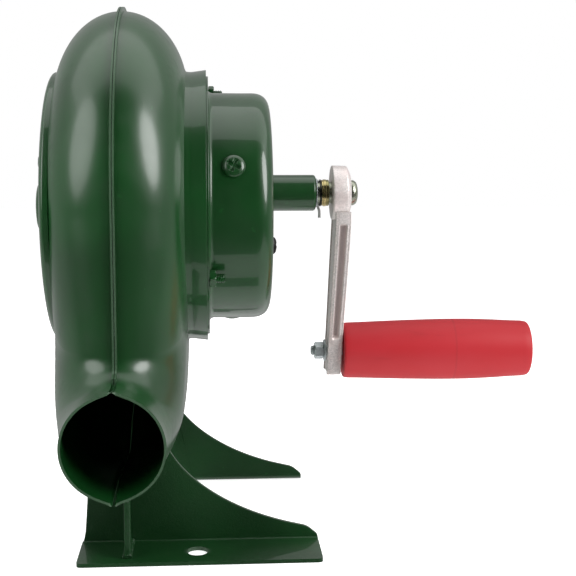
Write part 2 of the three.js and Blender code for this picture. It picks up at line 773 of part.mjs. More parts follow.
const crankSleeve = () => turned([
  [drumFaceX - drumWall - gap - 3, sleeveBore],
  [drumFaceX - drumWall - gap - 3, sleeveCollar],
  [drumFaceX - drumWall - gap, sleeveCollar],
  [drumFaceX - drumWall - gap, sleeveRadius],
  [sleeveEndX, sleeveRadius],
  [sleeveEndX, sleeveBore],
  [drumFaceX - drumWall - gap - 3, sleeveBore],
], 20, 0, crankOffset);

const crankBush = () =>
  ring(drumFaceX - 4.5, sleeveEndX, crankShaftRadius + running, sleeveBore - gap, 20, 0, crankOffset);

function crankShaft() {
  const end = armFaceX + shaftEnd;
  const shaft = turned([
    [crankGearX - 1, 0],
    [crankGearX - 1, crankShaftRadius],
    [end - 2, crankShaftRadius],
    [end - 0.8, crankShaftRadius - 1],
    [end - 0.1, crankShaftRadius - 3.2],
    [end, 0],
  ], fine, 0, crankOffset);
  const hole = new THREE.CylinderGeometry(cotterRadius + gap, cotterRadius + gap, 30, 8);
  hole.rotateX(Math.PI / 2).translate(cotterX, 0, crankOffset);
  return solid(shaft).subtract(solid(hole));
}

const washer = (x0, radius) =>
  ring(x0, x0 + washerThickness, crankShaftRadius + gap, radius, coarse, 0, crankOffset);

// Split pin: a straight leg through the shaft and an eye above it.
function cotterPin() {
  const eye = 2.1;
  const top = crankOffset + crankShaftRadius + 1.2;
  const tip = crankOffset - crankShaftRadius - 7.8;
  const leg = new THREE.CylinderGeometry(cotterRadius, cotterRadius, top - tip, 8);
  leg.rotateX(Math.PI / 2).translate(cotterX, 0, (top + tip) / 2);
  const loop = new THREE.TorusGeometry(eye, cotterRadius, 6, 12).rotateY(Math.PI / 2);
  loop.translate(cotterX, 0, top + eye - 0.2);
  return solid(leg).add(solid(loop));
}

const crankSpacer = () =>
  ring(spacerX, spacerX + spacerLength, crankShaftRadius + gap, spacerRadius, coarse, 0, crankOffset);

const gripZ = crankOffset - armThrow;
const leanAt = (z) => armLean * Math.min(0, z - crankOffset + 25);
const armFootX = armX + 1 + leanAt(gripZ);

function armOutline(inset) {
  const top = crankOffset;
  const bottom = gripZ - armTail + inset;
  return new THREE.Shape([
    new THREE.Vector2(-armTopHalf + inset, top),
    new THREE.Vector2(-armEndHalf + inset, bottom),
    new THREE.Vector2(armEndHalf - inset, bottom),
    new THREE.Vector2(armTopHalf - inset, top),
  ]);
}

// Cast arm: a channelled bar between a thick hub and a squared end. The bar leans in towards its foot.
function crankArm() {
  const x0 = armX + 1;
  const x1 = x0 + armThickness;
  const layers = [
    solid(alongX(armOutline(0), x0, x0 + armFlange)),
    solid(alongX(armOutline(armGroove), x0 + 1, x1 - 1)),
    solid(alongX(armOutline(0), x1 - armFlange, x1)),
  ];
  const bar = joined(layers).warp((v) => {
    v[0] += leanAt(v[2]);
  });
  const endBlock = solid(
    box(armFootX + 0.5, armFootX + armThickness - 0.5, -armEndHalf + 0.6, armEndHalf - 0.6,
      gripZ - armTail + 0.6, gripZ + 11),
  );
  const collar = solid(
    box(x0 + 1, x1 - 0.5, -armTopHalf + 1.5, armTopHalf - 1.5, crankOffset - armHubRadius - 7, crankOffset),
  );
  const hub = turned([
    [armX, 0],
    [armX, armHubRadius - 0.8],
    [armX + 0.8, armHubRadius],
    [armFaceX - 1.2, armHubRadius],
    [armFaceX, armHubRadius - 1.2],
    [armFaceX, 0],
  ], fine, 0, crankOffset);
  return without(joined([bar, endBlock, collar, solid(hub)]), [
    solid(rod(armX - 5, armFaceX + 5, crankShaftRadius + gap, fine, 0, crankOffset)),
    solid(rod(armX - 10, armFaceX + 5, boltRadius + gap, 20, 0, gripZ)),
  ]);
}

// ---- grip ----
const gripX = armFootX + armThickness + gap;
const gripEndX = gripX + gripLength;

function handleGrip() {
  const belly = gripX + gripLength * 0.58;
  return turned([
    [gripX, boltRadius + running],
    [gripX, gripInner - 1],
    [gripX + 1, gripInner],
    [(gripX + belly) / 2, (gripInner + gripBelly) / 2 + 0.3],
    [belly, gripBelly],
    [(belly + gripEndX) / 2, (gripBelly + gripOuter) / 2 + 0.4],
    ...arc(gripEndX - gripRound, gripOuter - gripRound, gripRound, 85, 0, 4),
    [gripEndX, gripRecess],
    [gripEndX - 8, gripRecess],
    [gripEndX - 8, boltRadius + running],
    [gripX, boltRadius + running],
  ], fine, 0, gripZ);
}

function handleBolt() {
  const seat = gripEndX - 8 + gap;
  const tail = armFootX - 1 - nutHeight - 1.8 - boltTail - 2 * gap;
  return turned([
    [tail, 0],
    [tail, boltRadius - 0.5],
    [tail + 0.5, boltRadius],
    [seat, boltRadius],
    [seat, boltHead],
    [seat + boltHeadHeight - 1.2, boltHead],
    [seat + boltHeadHeight, boltHead - 1.6],
    [seat + boltHeadHeight, 0],
  ], coarse, 0, gripZ);
}

const handleWasher = () =>
  ring(armFootX - gap - 1, armFootX - gap, boltRadius + gap, 6.4, coarse, 0, gripZ);

function handleNut() {
  const seat = armFootX - 1 - 2 * gap;
  return hexNut(seat - nutHeight - 1.8, seat, boltRadius + gap).translate(0, 0, gripZ);
}

// ---- the assembly ----
const model = new THREE.Group();

function add(name, finish, piece) {
  const geometry = piece instanceof THREE.BufferGeometry ? closed(piece) : surface(piece);
  const mesh = new THREE.Mesh(geometry, finishes[finish]);
  mesh.name = name;
  model.add(mesh);
}

add('scroll_left', 'enamel', scrollHalf(-1, eyeRadius));
add('scroll_right', 'enamel', scrollHalf(1, wallEye));
add('intake_plate', 'enamel', intakePlate());
add('intake_bush', 'bronze', intakeBush());
threeAround(plateScrewCircle, plateScrewAngle).forEach((place, i) =>
  add(`intake_screw_${i + 1}`, 'enamel', intakeScrew(place)));
add('front_foot', 'enamel', foot(-1));
add('rear_foot', 'enamel', foot(1));
add('outlet_strut', 'enamel', strut());

add('gear_pan', 'enamel', gearPan());
add('gear_plate', 'gearSteel', gearPlate());
add('gear_drum', 'enamel', gearDrum());
add('fan_bush', 'bronze', fanBush());
threeAround(fixScrewCircle, 30).forEach((place, i) => add(`plate_screw_${i + 1}`, 'zinc', fixScrew(place)));
studAngles.forEach((angle, i) => {
  add(`flange_stud_${i + 1}`, 'darkSteel', flangeStud(around(studCircle, angle)));
  add(`flange_nut_${i + 1}`, 'darkSteel', flangeNut(angle));
});
rimScrewAngles.forEach((angle, i) => add(`rim_screw_${i + 1}`, 'enamel', rimScrew(angle)));

add('idler_pin', 'darkSteel', idlerPin());
add('idler_spacer', 'bronze', idlerSpacer());
add('idler_gear', 'gearSteel', idlerGear());
add('idler_pinion', 'gearSteel', idlerPinion());

add('fan_shaft', 'gearSteel', fanShaft());
add('fan_pinion', 'gearSteel', fanPinion());
add('fan_hub', 'bareSheet', fanHub());
add('fan_disc', 'bareSheet', fanDisc());
add('fan_collar', 'bareSheet', fanCollar());
for (let number = 0; number < bladeCount; number += 1) {
  add(`fan_blade_${number + 1}`, 'bareSheet', fanBlade(number));
}

add('crank_sleeve', 'enamel', crankSleeve());
add('crank_bush', 'bronze', crankBush());
add('crank_shaft', 'gearSteel', crankShaft());
add('crank_gear', 'gearSteel', crankGear());
add('thrust_washer', 'darkSteel', washer(sleeveEndX + gap, spacerRadius + 0.5));
add('cotter_pin', 'darkSteel', cotterPin());
add('spacer_washer', 'darkSteel', washer(spacerX - gap - washerThickness, spacerRadius));
add('crank_spacer', 'yellowZinc', crankSpacer());
add('crank_arm', 'castAlloy', crankArm());
add('handle_bolt', 'zinc', handleBolt());
add('handle_washer', 'darkSteel', handleWasher());
add('handle_nut', 'zinc', handleNut());
add('handle_grip', 'redPlastic', handleGrip());

// The origin goes to the middle of the box on the floor.
const reach = new THREE.Box3().setFromObject(model);
const middle = reach.getCenter(new THREE.Vector3());
model.position.set(-middle.x, -middle.y, -reach.min.z);

export default model;
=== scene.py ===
"""Looks of a hand-cranked forge blower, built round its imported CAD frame.

Shapes are numpy grids in millimetres in the blower's own frame: X along the shafts towards the
crank,
-Y where the air comes out, Z up, origin on the fan axis at the scroll's seam. Patchwork.build
moves them
to the frame's metres.
"""

import json
import logging
import math
from dataclasses import dataclass, field
from enum import Enum

import bmesh
import bpy
import numpy as np
from mathutils import Euler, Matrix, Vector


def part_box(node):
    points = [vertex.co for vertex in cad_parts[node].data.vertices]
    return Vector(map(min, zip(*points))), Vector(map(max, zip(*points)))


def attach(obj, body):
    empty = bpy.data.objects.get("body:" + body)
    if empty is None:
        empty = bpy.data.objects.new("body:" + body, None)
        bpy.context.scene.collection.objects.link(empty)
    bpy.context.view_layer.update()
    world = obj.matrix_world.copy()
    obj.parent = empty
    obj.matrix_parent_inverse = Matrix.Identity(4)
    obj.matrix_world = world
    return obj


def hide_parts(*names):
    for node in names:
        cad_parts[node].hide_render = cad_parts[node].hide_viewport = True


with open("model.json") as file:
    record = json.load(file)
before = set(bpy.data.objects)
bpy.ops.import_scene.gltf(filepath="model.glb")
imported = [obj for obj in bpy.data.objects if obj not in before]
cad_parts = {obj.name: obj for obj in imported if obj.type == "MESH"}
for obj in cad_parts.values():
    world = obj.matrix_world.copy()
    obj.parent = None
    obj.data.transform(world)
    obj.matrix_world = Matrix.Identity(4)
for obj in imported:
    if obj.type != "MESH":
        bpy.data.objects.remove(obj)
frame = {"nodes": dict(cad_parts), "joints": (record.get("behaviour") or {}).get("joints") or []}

log = logging.getLogger("blower")
FAN_AXIS = np.array(next(j["pos_m"] for j in frame["joints"] if j["name"] == "fan_turn"))
# Mesh attribute for bare or dirty places, which also carries the painted shade on the crank
# spacer's last ring.
WEAR_AND_SHADE = "wear_and_shade"
FULL_TURN = 2 * math.pi


class Body(Enum):
    """The moving bodies of the frame."""

    HOUSING = "housing"
    CRANK = "crank"
    GRIP = "grip"


# ---------------------------------------------------------------- shader trees


class Signal:
    """A number socket of a shader tree that can be used in sums."""

    def __init__(self, graph: "Graph", socket: bpy.types.NodeSocket) -> None:
        """Remembers the graph and the socket."""
        self.graph = graph
        self.socket = socket

    def _math(self, operation: str, *terms: "Signal | float") -> "Signal":
        """The given operation on the terms, as a new node's output."""
        node = self.graph.node("ShaderNodeMath", {"operation": operation}, dict(enumerate(terms)))
        return Signal(self.graph, node.outputs[0])

    def __add__(self, other: "Signal | float") -> "Signal":
        """This plus other."""
        return self._math("ADD", self, other)

    def __radd__(self, other: float) -> "Signal":
        """Other plus this."""
        return self._math("ADD", other, self)

    def __sub__(self, other: "Signal | float") -> "Signal":
        """This minus other."""
        return self._math("SUBTRACT", self, other)

    def __rsub__(self, other: float) -> "Signal":
        """Other minus this."""
        return self._math("SUBTRACT", other, self)

    def __mul__(self, other: "Signal | float") -> "Signal":
        """This times other."""
        return self._math("MULTIPLY", self, other)

    def __rmul__(self, other: float) -> "Signal":
        """Other times this."""
        return self._math("MULTIPLY", other, self)

    def larger(self, other: "Signal | float") -> "Signal":
        """The larger of this and other."""
        return self._math("MAXIMUM", self, other)

    def band(self, low: float, high: float) -> "Signal":
        """Rises smoothly from 0 at low to 1 at high.

        Args:
            low: value that gives 0.
            high: value that gives 1.

        Returns:
            The smooth step.
        """
        node = self.graph.node(
            "ShaderNodeMapRange",
            {"interpolation_type": "SMOOTHSTEP"},
            {"Value": self, "From Min": low, "From Max": high},
        )
        return Signal(self.graph, node.outputs[0])


class Graph:
    """The node tree of one material or world."""

    def __init__(self, owner: bpy.types.Material | bpy.types.World,
                 coords: str = "Object") -> None:
        """Empties the tree and adds its coordinates.

        Args:
            owner: material or world whose tree is built.
            coords: output of Texture Coordinate that patterns read.
        """
        owner.use_nodes = True
        self.owner = owner
        self.tree = owner.node_tree
        self.tree.nodes.clear()
        self.place = self.node("ShaderNodeTexCoord").outputs[coords]

    def node(self, kind: str, settings: dict | None = None,
             inputs: dict | None = None) -> bpy.types.Node:
        """Adds a node.

        Args:
            kind: node type.
            settings: attributes, set before the sockets.
            inputs: socket name or number to a value, a socket or a Signal.

        Returns:
            The node.
        """
        node = self.tree.nodes.new(kind)
        for key, value in (settings or {}).items():
            setattr(node, key, value)
        for key, value in (inputs or {}).items():
            if isinstance(value, Signal):
                value = value.socket
            if isinstance(value, bpy.types.NodeSocket):
                self.tree.links.new(value, node.inputs[key])
            else:
                node.inputs[key].default_value = value
        return node

    def stretched(self, scale: tuple[float, float, float]) -> bpy.types.NodeSocket:
        """Object coordinates multiplied by scale.

        Args:
            scale: factor along each axis.

        Returns:
            The vector socket.
        """
        node = self.node("ShaderNodeVectorMath", {"operation": "MULTIPLY"},
                         {0: self.place, 1: scale})
        return node.outputs[0]

    def noise(self, scale: float, detail: float = 3.0, rough: float = 0.55, place=None) -> Signal:
        """Fractal noise from 0 to 1.

        Args:
            scale: features per metre.
            detail: octaves.
            rough: strength of the finer octaves.
            place: coordinates, the object's own if none are given.

        Returns:
            The noise value.
        """
        inputs = {"Vector": place or self.place, "Scale": scale, "Detail": detail,
                  "Roughness": rough}
        return Signal(self, self.node("ShaderNodeTexNoise", None, inputs).outputs[0])

    def attribute(self, name: str) -> Signal:
        """A number stored on the mesh.

        Args:
            name: attribute name.

        Returns:
            Its value.
        """
        return Signal(self, self.node("ShaderNodeAttribute",
                                      {"attribute_name": name}).outputs["Fac"])

    def mix(self, factor: Signal, first, second) -> bpy.types.NodeSocket:
        """Blends two colours.

        Args:
            factor: 0 gives the first, 1 the second.
            first: colour or colour socket.
            second: colour or colour socket.

        Returns:
            The colour socket.
        """
        node = self.node("ShaderNodeMix", {"data_type": "RGBA"}, {0: factor, 6: first, 7: second})
        return node.outputs[2]

    def bump(self, height: Signal, depth: float, strength: float = 1.0,
             under=None) -> bpy.types.NodeSocket:
        """A bumped normal.

        Args:
            height: relief from 0 to 1.
            depth: its depth in metres.
            strength: share of it that shows.
            under: normal that this one is added to.

        Returns:
            The normal socket.
        """
        inputs = {"Height": height, "Distance": depth, "Strength": strength}
        if under is not None:
            inputs["Normal"] = under
        return self.node("ShaderNodeBump", None, inputs).outputs[0]

    def surface(self, **sockets) -> bpy.types.Material:
        """Closes the tree with a Principled shader.

        Args:
            sockets: socket names with underscores for spaces.

        Returns:
            The finished material.
        """
        inputs = {key.replace("_", " "): value for key, value in sockets.items()}
        shader = self.node("ShaderNodeBsdfPrincipled", None, inputs)
        self.node("ShaderNodeOutputMaterial", None, {"Surface": shader.outputs[0]})
        return self.owner


def rgba(colour: tuple[float, float, float], gain: float = 1.0) -> tuple[float, float, float,
                                                                         float]:
    """A colour scaled by gain, with full alpha.

    Args:
        colour: linear red, green and blue.
        gain: factor on all three.

    Returns:
        The four numbers.
    """
    return tuple(min(1.0, c * gain) for c in colour) + (1.0,)


@dataclass(frozen=True)
class Enamel:
    """Sprayed gloss enamel over sheet steel, thin and light on cut edges."""

    name: str
    colour: tuple[float, float, float] = (0.0032, 0.043, 0.0072)
    worn: tuple[float, float, float] = (0.07, 0.12, 0.075)
    roughness: float = 0.34
    coat: float = 0.7
    coat_roughness: float = 0.05
    ripple: float = 0.00003
    grit: float = 0.0

    def build(self) -> bpy.types.Material:
        """Makes the material.

        Returns:
            The material.
        """
        g = Graph(bpy.data.materials.new(self.name))
        cloud = g.noise(14, 2)
        fleck = g.noise(900, 4, 0.7)
        speck = g.noise(260, 2, 0.5).band(0.7, 0.78)
        tone = g.mix(cloud.band(0.3, 0.7), rgba(self.colour, 0.8), rgba(self.colour, 1.25))
        tone = g.mix(speck * 0.35, tone, rgba(self.colour, 2.4))
        edge = (g.attribute(WEAR_AND_SHADE) * (0.7 + fleck * 0.6)).band(0.45, 0.95)
        tone = g.mix(edge, tone, rgba(self.worn))
        peel = g.bump(g.noise(170, 2, 0.4), self.ripple * 4, 0.35)
        relief = g.bump(fleck, self.ripple + self.grit, 0.25 + (0.5 if self.grit else 0), peel)
        dust = g.noise(60, 5, 0.7).band(0.45, 0.8)
        return g.surface(
            Base_Color=tone,
            Roughness=self.roughness + dust * 0.12 + edge * 0.2,
            Metallic=edge * 0.3,
            Coat_Weight=self.coat * (1.0 - edge * 0.7),
            Coat_Roughness=self.coat_roughness,
            Normal=relief,
        )


@dataclass(frozen=True)
class Metal:
    """Bare or plated metal with stain, grain and fine marks."""

    name: str
    colour: tuple[float, float, float]
    stain: tuple[float, float, float]
    roughness: float = 0.35
    spread: float = 0.2
    grain: float = 600.0
    depth: float = 0.00003
    streak: tuple[float, float, float] = (1.0, 1.0, 1.0)
    stained: float = 0.5
    metallic: float = 0.95

    def build(self) -> bpy.types.Material:
        """Makes the material.

        Returns:
            The material.
        """
        g = Graph(bpy.data.materials.new(self.name))
        patch = g.noise(90, 4, 0.65)
        grain = g.noise(self.grain, 4, 0.65, g.stretched(self.streak))
        tone = g.mix(grain.band(0.3, 0.7), rgba(self.colour, 0.82), rgba(self.colour, 1.12))
        tone = g.mix(patch.band(0.45, 0.72) * self.stained, tone, rgba(self.stain))
        # Worn or dirty places go darker towards the stain, and so does the painted shade on the
        # crank spacer's last ring.
        tone = g.mix(g.attribute(WEAR_AND_SHADE) * 0.7, tone, rgba(self.stain, 0.6))
        pits = g.bump(g.noise(1500, 2, 0.5).band(0.62, 0.75), self.depth, 0.4)
        return g.surface(
            Base_Color=tone,
            Roughness=self.roughness + (grain - 0.5) * self.spread,
            Metallic=self.metallic - patch.band(0.5, 0.8) * 0.15,
            Normal=g.bump(grain, self.depth, 0.6, pits),
        )


@dataclass(frozen=True)
class Casting:
    """As-cast aluminium: pale sand grain and rosy reflections of the grip."""

    name: str
    # Both colours carry a painted rosy reflection of the red grip; the second, rosier one is used
    # for random patches and, darker, in the grooves.
    colour: tuple[float, float, float] = (0.8, 0.74, 0.72)
    rosy_reflection_tone: tuple[float, float, float] = (0.64, 0.52, 0.5)
    metallic: float = 0.5
    depth: float = 0.00012

    def build(self) -> bpy.types.Material:
        """Makes the material.

        Returns:
            The material.
        """
        g = Graph(bpy.data.materials.new(self.name))
        sand = g.noise(1100, 5, 0.75)
        lump = g.noise(240, 3, 0.6)
        patch = g.noise(55, 3, 0.6)
        tone = g.mix(sand.band(0.3, 0.7), rgba(self.colour, 0.78), rgba(self.colour, 1.16))
        tone = g.mix(patch.band(0.45, 0.7) * 0.45, tone, rgba(self.rosy_reflection_tone, 1.25))
        tone = g.mix(g.attribute(WEAR_AND_SHADE) * 0.8, tone, rgba(self.rosy_reflection_tone, 0.75))
        relief = g.bump(lump, self.depth * 2, 0.5)
        return g.surface(
            Base_Color=tone,
            Roughness=0.3 + sand * 0.22,
            Metallic=self.metallic - sand.band(0.55, 0.75) * 0.2,
            Normal=g.bump(sand, self.depth, 0.7, relief),
        )


@dataclass(frozen=True)
class Plastic:
    """Moulded satin plastic with a faint leathery skin."""

    name: str
    colour: tuple[float, float, float] = (0.41, 0.002, 0.008)
    dusty: tuple[float, float, float] = (0.44, 0.01, 0.02)

    def build(self) -> bpy.types.Material:
        """Makes the material.

        Returns:
            The material.
        """
        g = Graph(bpy.data.materials.new(self.name))
        cloud = g.noise(22, 3)
        skin = g.noise(750, 3, 0.6)
        rub = g.noise(160, 3, 0.6, g.stretched((0.25, 1.0, 1.0)))
        tone = g.mix(cloud.band(0.35, 0.7) * 0.5, rgba(self.colour), rgba(self.dusty))
        tone = g.mix(rub.band(0.62, 0.75) * 0.25, tone, rgba(self.colour, 0.7))
        tone = g.mix(g.attribute(WEAR_AND_SHADE) * 0.8, tone, rgba(self.colour, 0.45))
        return g.surface(
            Base_Color=tone,
            Roughness=0.46 + rub * 0.12 + skin * 0.06,
            Coat_Weight=0.03,
            Coat_Roughness=0.3,
            Normal=g.bump(skin, 0.00003, 0.35, g.bump(cloud, 0.0004, 0.2)),
        )


@dataclass(frozen=True)
class Paper:
    """The pale floor."""

    name: str = "pale floor"
    glow: float = 0.85

    def build(self) -> bpy.types.Material:
        """Makes the material.

        Returns:
            The material.
        """
        g = Graph(bpy.data.materials.new(self.name))
        fibre = g.noise(300, 4, 0.6)
        tone = g.mix(g.noise(3, 2).band(0.3, 0.7), (0.9, 0.9, 0.9, 1), (0.94, 0.94, 0.94, 1))
        relief = g.bump(fibre, 0.0001, 0.2)
        return g.surface(
            Base_Color=tone, Roughness=0.75 + fibre * 0.1, Normal=relief, Emission_Color=tone,
            Emission_Strength=self.glow
        )


class Finishes:
    """Every finish on the blower, built once."""

    def __init__(self) -> None:
        """Builds each finish."""
        self.enamel = Enamel("green enamel").build()
        self.scroll = Enamel("soft green enamel", roughness=0.36, coat_roughness=0.2).build()
        # The inside finish is the same green enamel made far darker: painted shade for the pieces
        # that sit inside the casing.
        self.inside = Enamel("green enamel inside", colour=(0.003, 0.016, 0.006), roughness=0.5,
                             coat=0.2).build()
        self.overspray = Enamel("rough green enamel", roughness=0.42, coat=0.45,
                                grit=0.0003).build()
        self.cast_alloy = Casting("cast aluminium").build()
        self.red = Plastic("red plastic").build()
        self.zinc = Metal("zinc plate", (0.55, 0.6, 0.61), (0.34, 0.38, 0.4), 0.3, 0.25,
                          metallic=0.6).build()
        self.bright = Metal("bright zinc", (0.68, 0.68, 0.66), (0.4, 0.4, 0.38), 0.35, 0.2,
                            metallic=0.4).build()
        self.dark = Metal("blackened steel", (0.03, 0.032, 0.031), (0.09, 0.075, 0.06), 0.45, 0.3,
                          900, 0.0001).build()
        self.yellow = Metal("yellow zinc", (0.62, 0.5, 0.24), (0.36, 0.36, 0.16), 0.22, 0.2, 400,
                            streak=(6, 1, 1)).build()
        self.olive = Metal("stained zinc", (0.42, 0.44, 0.36), (0.2, 0.24, 0.13), 0.28, 0.3,
                           500).build()
        self.bronze = Metal("bearing bronze", (0.46, 0.27, 0.1), (0.22, 0.12, 0.05), 0.4).build()
        self.steel = Metal("oiled gear steel", (0.24, 0.25, 0.26), (0.08, 0.06, 0.04), 0.35,
                           streak=(1, 1, 8)).build()
        self.sheet = Metal("bare sheet", (0.42, 0.44, 0.45), (0.25, 0.22, 0.18), 0.38,
                           streak=(1, 1, 12)).build()
        self.plate = Metal("cast iron", (0.12, 0.12, 0.12), (0.2, 0.1, 0.05), 0.6, 0.2, 500,
                           0.0002, metallic=0.7).build()

    def by_slot(self) -> dict[str, bpy.types.Material]:
        """The finish of each material slot of the record.

        Returns:
            Slot name to material.
        """
        return {
            # CAD pieces left with this slot sit inside the casing and get the darkened inside
            # finish, which is painted shade.
            "green_enamel": self.inside,
            "enamelled_screw": self.enamel,
            "bearing_bronze": self.bronze,
            "cast_plate": self.plate,
            "zinc_fastener": self.zinc,
            "dark_fastener": self.dark,
            "gear_steel": self.steel,
            "fan_sheet": self.sheet,
            "yellow_zinc": self.yellow,
            "cast_aluminium": self.cast_alloy,
            "red_plastic": self.red,
        }


# ---------------------------------------------------------------- surfaces


def smooth(value: np.ndarray) -> np.ndarray:
    """Smooth step of value, clipped to 0..1: 3t^2 - 2t^3.

    Args:
        value: any numbers.

    Returns:
        The steps.
    """
    t = np.clip(value, 0, 1)
    return t * t * (3 - 2 * t)


def smooth_max(first: np.ndarray, second: np.ndarray, size: float) -> np.ndarray:
    """Maximum with a rounded corner: max + size/4 (1 - |a-b|/size)^2 where the two are closer
    than size.

    Args:
        first: numbers.
        second: numbers.
        size: width of the rounding.

    Returns:
        The rounded maximum.
    """
    near = np.clip(1 - np.abs(first - second) / size, 0, 1)
    return np.maximum(first, second) + size / 4 * near**2


def around(radius: float | np.ndarray, degrees: float | np.ndarray) -> np.ndarray:
    """(Y, Z) at a radius and an angle from the front (-Y), over the top.

    Args:
        radius: distance from the fan axis.
        degrees: angle.

    Returns:
        Array whose last axis is Y, Z.
    """
    a = np.radians(degrees)
    return np.stack(np.broadcast_arrays(-radius * np.cos(a), radius * np.sin(a)), -1)


def rounded(profile: list[tuple[float, float]], size: float | list[float],
            steps: int = 5) -> np.ndarray:
    """An open polyline whose inner corners become parabolas that start size before each corner.

    Args:
        profile: corner points.
        size: one size, or one for each point; never more than 0.45 of a side.
        steps: points across each corner.

    Returns:
        The new points.
    """
    p = np.array(profile, float)
    sizes = np.broadcast_to(np.array(size, float), len(p))
    legs = np.diff(p, axis=0)
    reach = np.linalg.norm(legs, axis=1)
    unit = legs / np.maximum(reach, 1e-9)[:, None]
    trim = np.minimum(sizes[1:-1], 0.45 * np.minimum(reach[:-1], reach[1:]))[:, None]
    start, end, corner = p[1:-1] - unit[:-1] * trim, p[1:-1] + unit[1:] * trim, p[1:-1]
    t = np.linspace(0, 1, steps)[None, :, None]
    arcs = (1 - t) ** 2 * start[:, None] + 2 * t * (1 - t) * corner[:, None] + t**2 * end[:, None]
    return np.concatenate([p[:1], arcs.reshape(-1, p.shape[1]), p[-1:]])


def rounded_loop(profile: list[tuple[float, float]], size: float | list[float],
                 steps: int = 5) -> np.ndarray:
    """A closed loop with every corner rounded as in rounded.

    Args:
        profile: corner points, the first not repeated.
        size: one size, or one for each point.
        steps: points across each corner.

    Returns:
        The loop, its first point not repeated.
    """
    sizes = list(np.broadcast_to(np.array(size, float), len(profile)))
    wrapped = [profile[-1], *profile, profile[0]]
    return rounded(wrapped, [sizes[-1], *sizes, sizes[0]], steps)[1:-1]


def lathe(profile: np.ndarray, sides: int, y: float = 0.0, z: float = 0.0,
          wobble: float = 0.0) -> np.ndarray:
    """A profile of (x, radius) turned about the X axis, then moved off it.

    Args:
        profile: points of the section.
        sides: points round the axis.
        y: axis place.
        z: axis place.
        wobble: size of a slow uneven dent along the radius, three lobes round the axis.

    Returns:
        Grid of points, one row for each profile point.
    """
    a = np.linspace(0, FULL_TURN, sides, endpoint=False)[None, :]
    x, r = profile[:, :1], profile[:, 1:2]
    r = r + wobble * np.sin(3 * a + x * 0.2) * (r > 1)
    return np.stack([x + 0 * a, y - r * np.cos(a), z + r * np.sin(a)], -1)


def turned_frame(points: np.ndarray, degrees: float, radius: float, x: float) -> np.ndarray:
    """Moves points whose Z is 'outwards' so that they stand on a radius of the fan axis.

    Args:
        points: (u along X, v round the axis, w outwards).
        degrees: angle of the radius from the front, over the top.
        radius: where w is 0.
        x: where u is 0.

    Returns:
        The moved points.
    """
    out, side = around(1.0, degrees), around(1.0, degrees + 90)
    u, v, w = points[..., 0], points[..., 1], points[..., 2]
    yz = (w + radius)[..., None] * out + v[..., None] * side
    return np.stack([u + x, yz[..., 0], yz[..., 1]], -1)


def stack(loop: np.ndarray, levels: list[tuple[float, float]], axis: int) -> np.ndarray:
    """Copies of a closed plane loop at each level, shrunk towards its middle by an inset, ends
    closed.

    Args:
        loop: (n, 2) points in the two other axes, in X, Y, Z order.
        levels: (place along axis, inset) pairs.
        axis: 0, 1 or 2.

    Returns:
        Grid with one row for each level and a row at the middle before and after.
    """
    middle = loop.mean(axis=0)
    ahead, behind = np.roll(loop, -1, 0), np.roll(loop, 1, 0)
    tangent = ahead - behind
    normal = np.stack([tangent[:, 1], -tangent[:, 0]], -1)
    normal /= np.maximum(np.linalg.norm(normal, axis=1), 1e-9)[:, None]
    if np.sum(normal * (loop - middle)) < 0:
        normal = -normal
    rows = [np.repeat(middle[None], len(loop), 0)]
    rows += [loop - normal * inset for _, inset in levels]
    rows.append(rows[0])
    heights = [levels[0][0], *[level for level, _ in levels], levels[-1][0]]
    grid = np.array(rows)
    return np.insert(grid, axis, np.array(heights)[:, None], axis=2)


def bevelled(low: float, high: float, size: float) -> list[tuple[float, float]]:
    """Levels for stack with a rounded edge at both ends.

    Args:
        low: one end.
        high: other end.
        size: edge radius.

    Returns:
        The (place, inset) pairs.
    """
    a = np.radians(np.array([90, 60, 30, 0]))
    ease = [(size * (1 - math.cos(math.pi / 2 - t)), size * (1 - math.cos(t))) for t in a]
    start = [(low + d, i) for d, i in ease]
    return start + [(high - (h - low), i) for h, i in reversed(start)]


def tube(path: np.ndarray, radius: float | np.ndarray, sides: int = 10,
         closed: bool = False) -> np.ndarray:
    """A round section carried along a path: centre + r (cos a N + sin a B), with the ends drawn
    to a point.

    Args:
        path: (n, 3) points.
        radius: one radius, or one for each point.
        sides: points round the section.
        closed: the path is a ring.

    Returns:
        Grid with one row for each path point, plus the two end rows of an open path.
    """
    tangent = np.roll(path, -1, 0) - np.roll(path, 1, 0) if closed else np.gradient(path, axis=0)
    tangent /= np.linalg.norm(tangent, axis=1)[:, None]
    spare = np.array([0.31, 0.83, 0.46])
    first = np.cross(tangent, spare)
    first /= np.linalg.norm(first, axis=1)[:, None]
    second = np.cross(tangent, first)
    a = np.linspace(0, FULL_TURN, sides, endpoint=False)[None, :, None]
    r = np.broadcast_to(np.array(radius, float), len(path))[:, None, None]
    grid = path[:, None] + r * (np.cos(a) * first[:, None] + np.sin(a) * second[:, None])
    if closed:
        return grid
    ends = [np.repeat(path[i][None], sides, 0)[None] for i in (0, -1)]
    return np.concatenate([ends[0], grid, ends[1]])


def shell(outer: np.ndarray, thickness: float, flip: float = 1.0) -> np.ndarray:
    """The same grid moved along its own normals.

    Args:
        outer: grid that closes along its columns.
        thickness: distance.
        flip: -1 to move the other way.

    Returns:
        The inner grid.
    """
    down = np.gradient(outer, axis=0)
    across = np.roll(outer, -1, 1) - np.roll(outer, 1, 1)
    normal = np.cross(down, across)
    normal /= np.maximum(np.linalg.norm(normal, axis=2), 1e-9)[..., None]
    return outer + normal * thickness * flip


